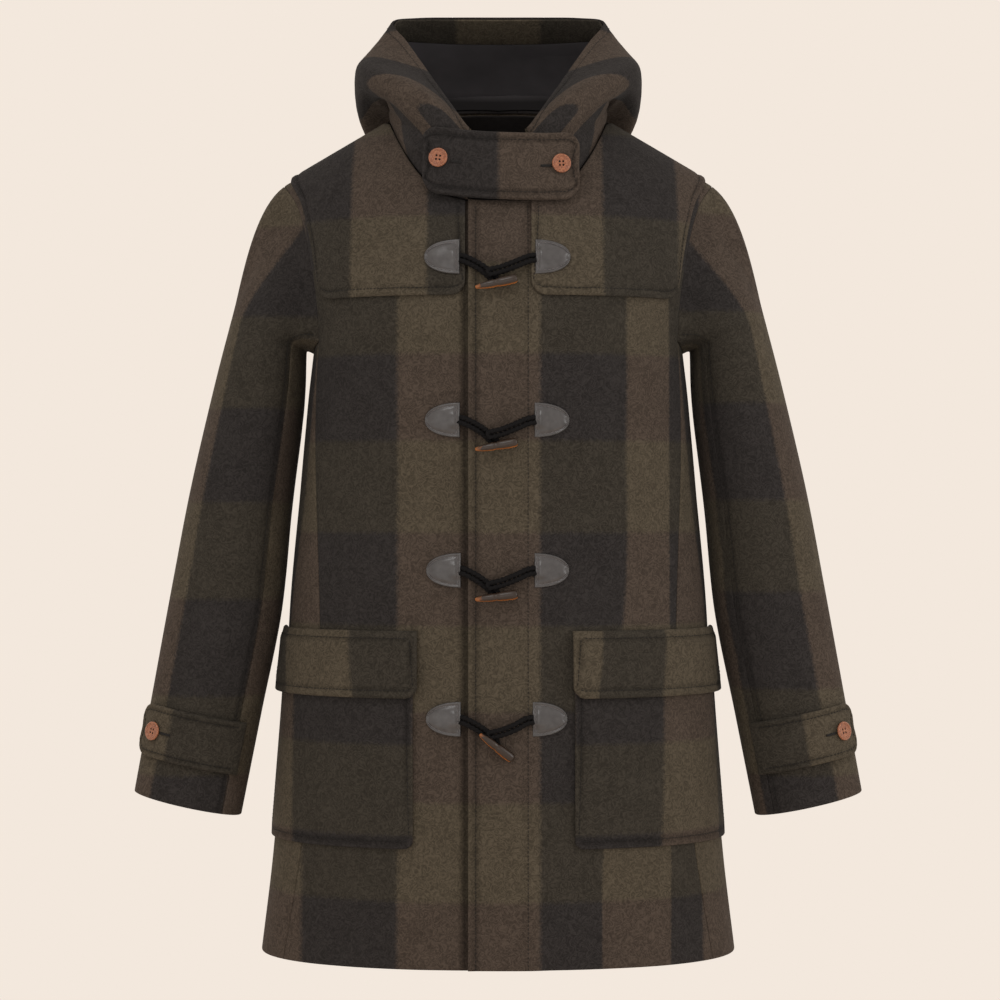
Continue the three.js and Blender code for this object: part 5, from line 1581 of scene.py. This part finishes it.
def colour_setting(name, description, colour):
    """A colour for the panel, from its sRGB hex value."""
    return bpy.props.FloatVectorProperty(
        name=name, description=description, default=linear(colour)[:3], min=0.0, max=1.0, subtype="COLOR"
    )


def length_setting(name, description, length_mm):
    """A length for the panel, in metres as Blender keeps it, from millimetres."""
    return bpy.props.FloatProperty(
        name=name, description=description, default=length_mm * MM, min=0.0001, precision=5, unit="LENGTH"
    )


class CoatColours(bpy.types.PropertyGroup):
    """Colours of the coat's cloth and trimmings, and of the paper round it."""

    olive: colour_setting("Olive", "Blocks where a pale column crosses a pale row", "4A443A")
    brown: colour_setting("Brown", "Blocks where a pale column crosses a dark row", "453D37")
    grey_green: colour_setting("Grey-green", "Blocks where a dark column crosses a pale row", "35322D")
    charcoal: colour_setting("Charcoal", "Blocks where a dark column crosses a dark row", "2D2B2B")
    # Painted shade: the inner face's colour is darkened to stand for the shadow inside the coat
    reverse: colour_setting("Reverse", "Inner side of the wool", "282626")
    lining: colour_setting("Lining", "Hood lining where the light reaches it", "59575B")
    leather: colour_setting("Leather", "Patches that hold the cords", "4A494B")
    cord: colour_setting("Cord", "Toggle cords and loops", "131214")
    horn_tip: colour_setting("Horn tip", "Amber end and underside of the toggles", "A5622B")
    button: colour_setting("Button", "Paler marbling of the buttons", "A06144")
    thread: colour_setting("Thread", "Topstitching and buttonholes", "171616")
    paper: colour_setting("Paper", "The studio's air and floor", "F3E8DD")


class CoatSewing(bpy.types.PropertyGroup):
    """Sizes of the topstitching."""

    stitch_pitch: length_setting("Stitch pitch", "From one stitch to the next", 4.2)
    stitch_length: length_setting("Stitch length", "Thread that shows in each stitch", 3.5)
    thread_radius: length_setting("Thread radius", "Half the thickness of the sewing thread", 0.38)


class CoatSettings(bpy.types.PropertyGroup):
    """Light, paper and camera."""

    daylight: bpy.props.FloatProperty(
        name="Daylight", description="Power of the lamp above the front", default=14.0, min=0.0, unit="POWER"
    )
    floor_radius: bpy.props.FloatProperty(
        name="Floor", description="Radius of the paper disc below the coat", default=1.2, unit="LENGTH"
    )
    camera_distance: bpy.props.FloatProperty(
        name="Camera distance", description="From the coat's middle to the camera", default=2.9, unit="LENGTH"
    )


class COAT_OT_body(bpy.types.Operator):
    """Build the two fronts and the back"""

    bl_idname = "coat.body"
    bl_label = "Fronts and back"

    def execute(self, context):
        for side in SIGN:
            build_front(side)
        build_back()
        return {"FINISHED"}


class COAT_OT_sleeves(bpy.types.Operator):
    """Build both sleeves, each of an upper and an under piece"""

    bl_idname = "coat.sleeves"
    bl_label = "Sleeves"

    def execute(self, context):
        for side in SIGN:
            build_sleeve(side, "upper")
            build_sleeve(side, "under")
        return {"FINISHED"}


class COAT_OT_hood(bpy.types.Operator):
    """Build the hood's three panels, its lining and its facing"""

    bl_idname = "coat.hood"
    bl_label = "Hood"

    def execute(self, context):
        build_hood()
        return {"FINISHED"}


class COAT_OT_yokes(bpy.types.Operator):
    """Build the shoulder patches of the fronts and the back"""

    bl_idname = "coat.yokes"
    bl_label = "Yokes"

    def execute(self, context):
        for side in SIGN:
            build_front_yoke(side)
        build_back_yoke()
        return {"FINISHED"}


class COAT_OT_pockets(bpy.types.Operator):
    """Build both pockets and their flaps"""

    bl_idname = "coat.pockets"
    bl_label = "Pockets and flaps"

    def execute(self, context):
        for side in SIGN:
            build_pocket(side)
        return {"FINISHED"}


class COAT_OT_tabs(bpy.types.Operator):
    """Build the throat tab and both cuff tabs"""

    bl_idname = "coat.tabs"
    bl_label = "Throat and cuff tabs"

    def execute(self, context):
        build_throat_tab()
        for side in SIGN:
            build_cuff_tab(side)
        return {"FINISHED"}


class COAT_OT_buttons(bpy.types.Operator):
    """Build the four buttons with their thread and buttonholes"""

    bl_idname = "coat.buttons"
    bl_label = "Buttons"

    def execute(self, context):
        for kind in ("throat", "cuff"):
            for side in SIGN:
                build_button(kind, side)
        build_buttonholes()
        return {"FINISHED"}


class COAT_OT_toggles(bpy.types.Operator):
    """Build the four toggle fastenings with their patches and cords"""

    bl_idname = "coat.toggles"
    bl_label = "Toggle fastenings"

    def execute(self, context):
        for row in range(len(TOGGLES["z"])):
            build_fastening(row)
        return {"FINISHED"}


# The camera's middle line in metres and its lens in millimetres
EYE_X, EYE_Z = 0.002, -0.42
LENS, FILM_WIDTH = 95.76, 36.0
# Each lamp's place, its size and its share of the daylight
LAMPS = {
    "lamp_key": ((-0.7, -2.5, 2.3), 1.0, 1.0),
    "lamp_front": ((-0.6, -3.6, -0.5), 2.4, 0.6),
    "lamp_right": ((2.6, -1.2, 0.2), 1.4, 0.9),
}


def build_floor(radius):
    """A level disc of paper a little below the hem, small enough to stay out of the front view."""
    turn = np.linspace(0, 2 * np.pi, 96, endpoint=False)
    rim = np.stack([radius / MM * np.cos(turn), radius / MM * np.sin(turn), FLOOR_Z + 0 * turn], -1)
    made = add_mesh("floor", rim, [list(range(len(rim)))])
    made.data.materials.append(material("paper"))
    return made


def add_lamp(name, place, size, power):
    """A square area lamp facing the middle of the coat."""
    lamp = bpy.data.lights.new(name, "AREA")
    lamp.energy, lamp.size, lamp.shape = power, size, "SQUARE"
    made = bpy.data.objects.new(name, lamp)
    bpy.context.scene.collection.objects.link(made)
    made.location = place
    way = np.array((0.0, 0.0, EYE_Z)) - np.array(place)
    made.rotation_euler = mathutils.Vector(way).to_track_quat("-Z", "Y").to_euler()
    return made


class COAT_OT_stage(bpy.types.Operator):
    """Build the floor, the soft light and the camera"""

    bl_idname = "coat.stage"
    bl_label = "Stage"

    def execute(self, context):
        settings = context.scene.coat
        floor = build_floor(settings.floor_radius)
        lamps = [add_lamp(name, *at, share * settings.daylight) for name, (*at, share) in LAMPS.items()]
        world = bpy.data.worlds.new("Soft studio air")
        world.use_nodes = True
        air = world.node_tree.nodes["Background"]
        feed(world.node_tree, air, {"Color": chosen("paper"), "Strength": 1.0})
        context.scene.world = world
        camera = bpy.data.cameras.new("camera")
        camera.lens, camera.sensor_width = LENS, FILM_WIDTH
        made = bpy.data.objects.new("camera", camera)
        context.scene.collection.objects.link(made)
        made.location = (EYE_X, -settings.camera_distance, EYE_Z)
        made.rotation_euler = (math.pi / 2, 0.0, 0.0)
        context.scene.camera = made
        context.scene.view_settings.view_transform = "Standard"
        return {"FINISHED"}


OPERATORS = (
    COAT_OT_body,
    COAT_OT_sleeves,
    COAT_OT_hood,
    COAT_OT_yokes,
    COAT_OT_pockets,
    COAT_OT_tabs,
    COAT_OT_buttons,
    COAT_OT_toggles,
    COAT_OT_stage,
)


class COAT_PT_panel(bpy.types.Panel):
    """The coat's settings and its operators, in the order in which they run"""

    bl_idname = "COAT_PT_panel"
    bl_label = "Duffle coat"
    bl_space_type = "VIEW_3D"
    bl_region_type = "UI"
    bl_category = "Coat"

    def draw(self, context):
        scene = context.scene
        for settings in (scene.coat_sewing, scene.coat_colours, scene.coat):
            for name in settings.__annotations__:
                self.layout.prop(settings, name)
        for operator in OPERATORS:
            self.layout.operator(operator.bl_idname)


def register():
    """Makes the settings, operators and panel known to Blender."""
    for item in (CoatSewing, CoatColours, CoatSettings, *OPERATORS, COAT_PT_panel):
        bpy.utils.register_class(item)
    bpy.types.Scene.coat_sewing = bpy.props.PointerProperty(type=CoatSewing)
    bpy.types.Scene.coat_colours = bpy.props.PointerProperty(type=CoatColours)
    bpy.types.Scene.coat = bpy.props.PointerProperty(type=CoatSettings)


def unregister():
    """Takes them out again."""
    del bpy.types.Scene.coat, bpy.types.Scene.coat_colours, bpy.types.Scene.coat_sewing
    for item in (COAT_PT_panel, *reversed(OPERATORS), CoatSettings, CoatColours, CoatSewing):
        bpy.utils.unregister_class(item)


def main():
    """Runs the operators in order."""
    register()
    for operator in OPERATORS:
        group, name = operator.bl_idname.split(".")
        result = getattr(getattr(bpy.ops, group), name)()
        if result != {"FINISHED"}:
            raise RuntimeError(f"{operator.bl_label} did not finish")


if __name__ == "__main__":
    main()
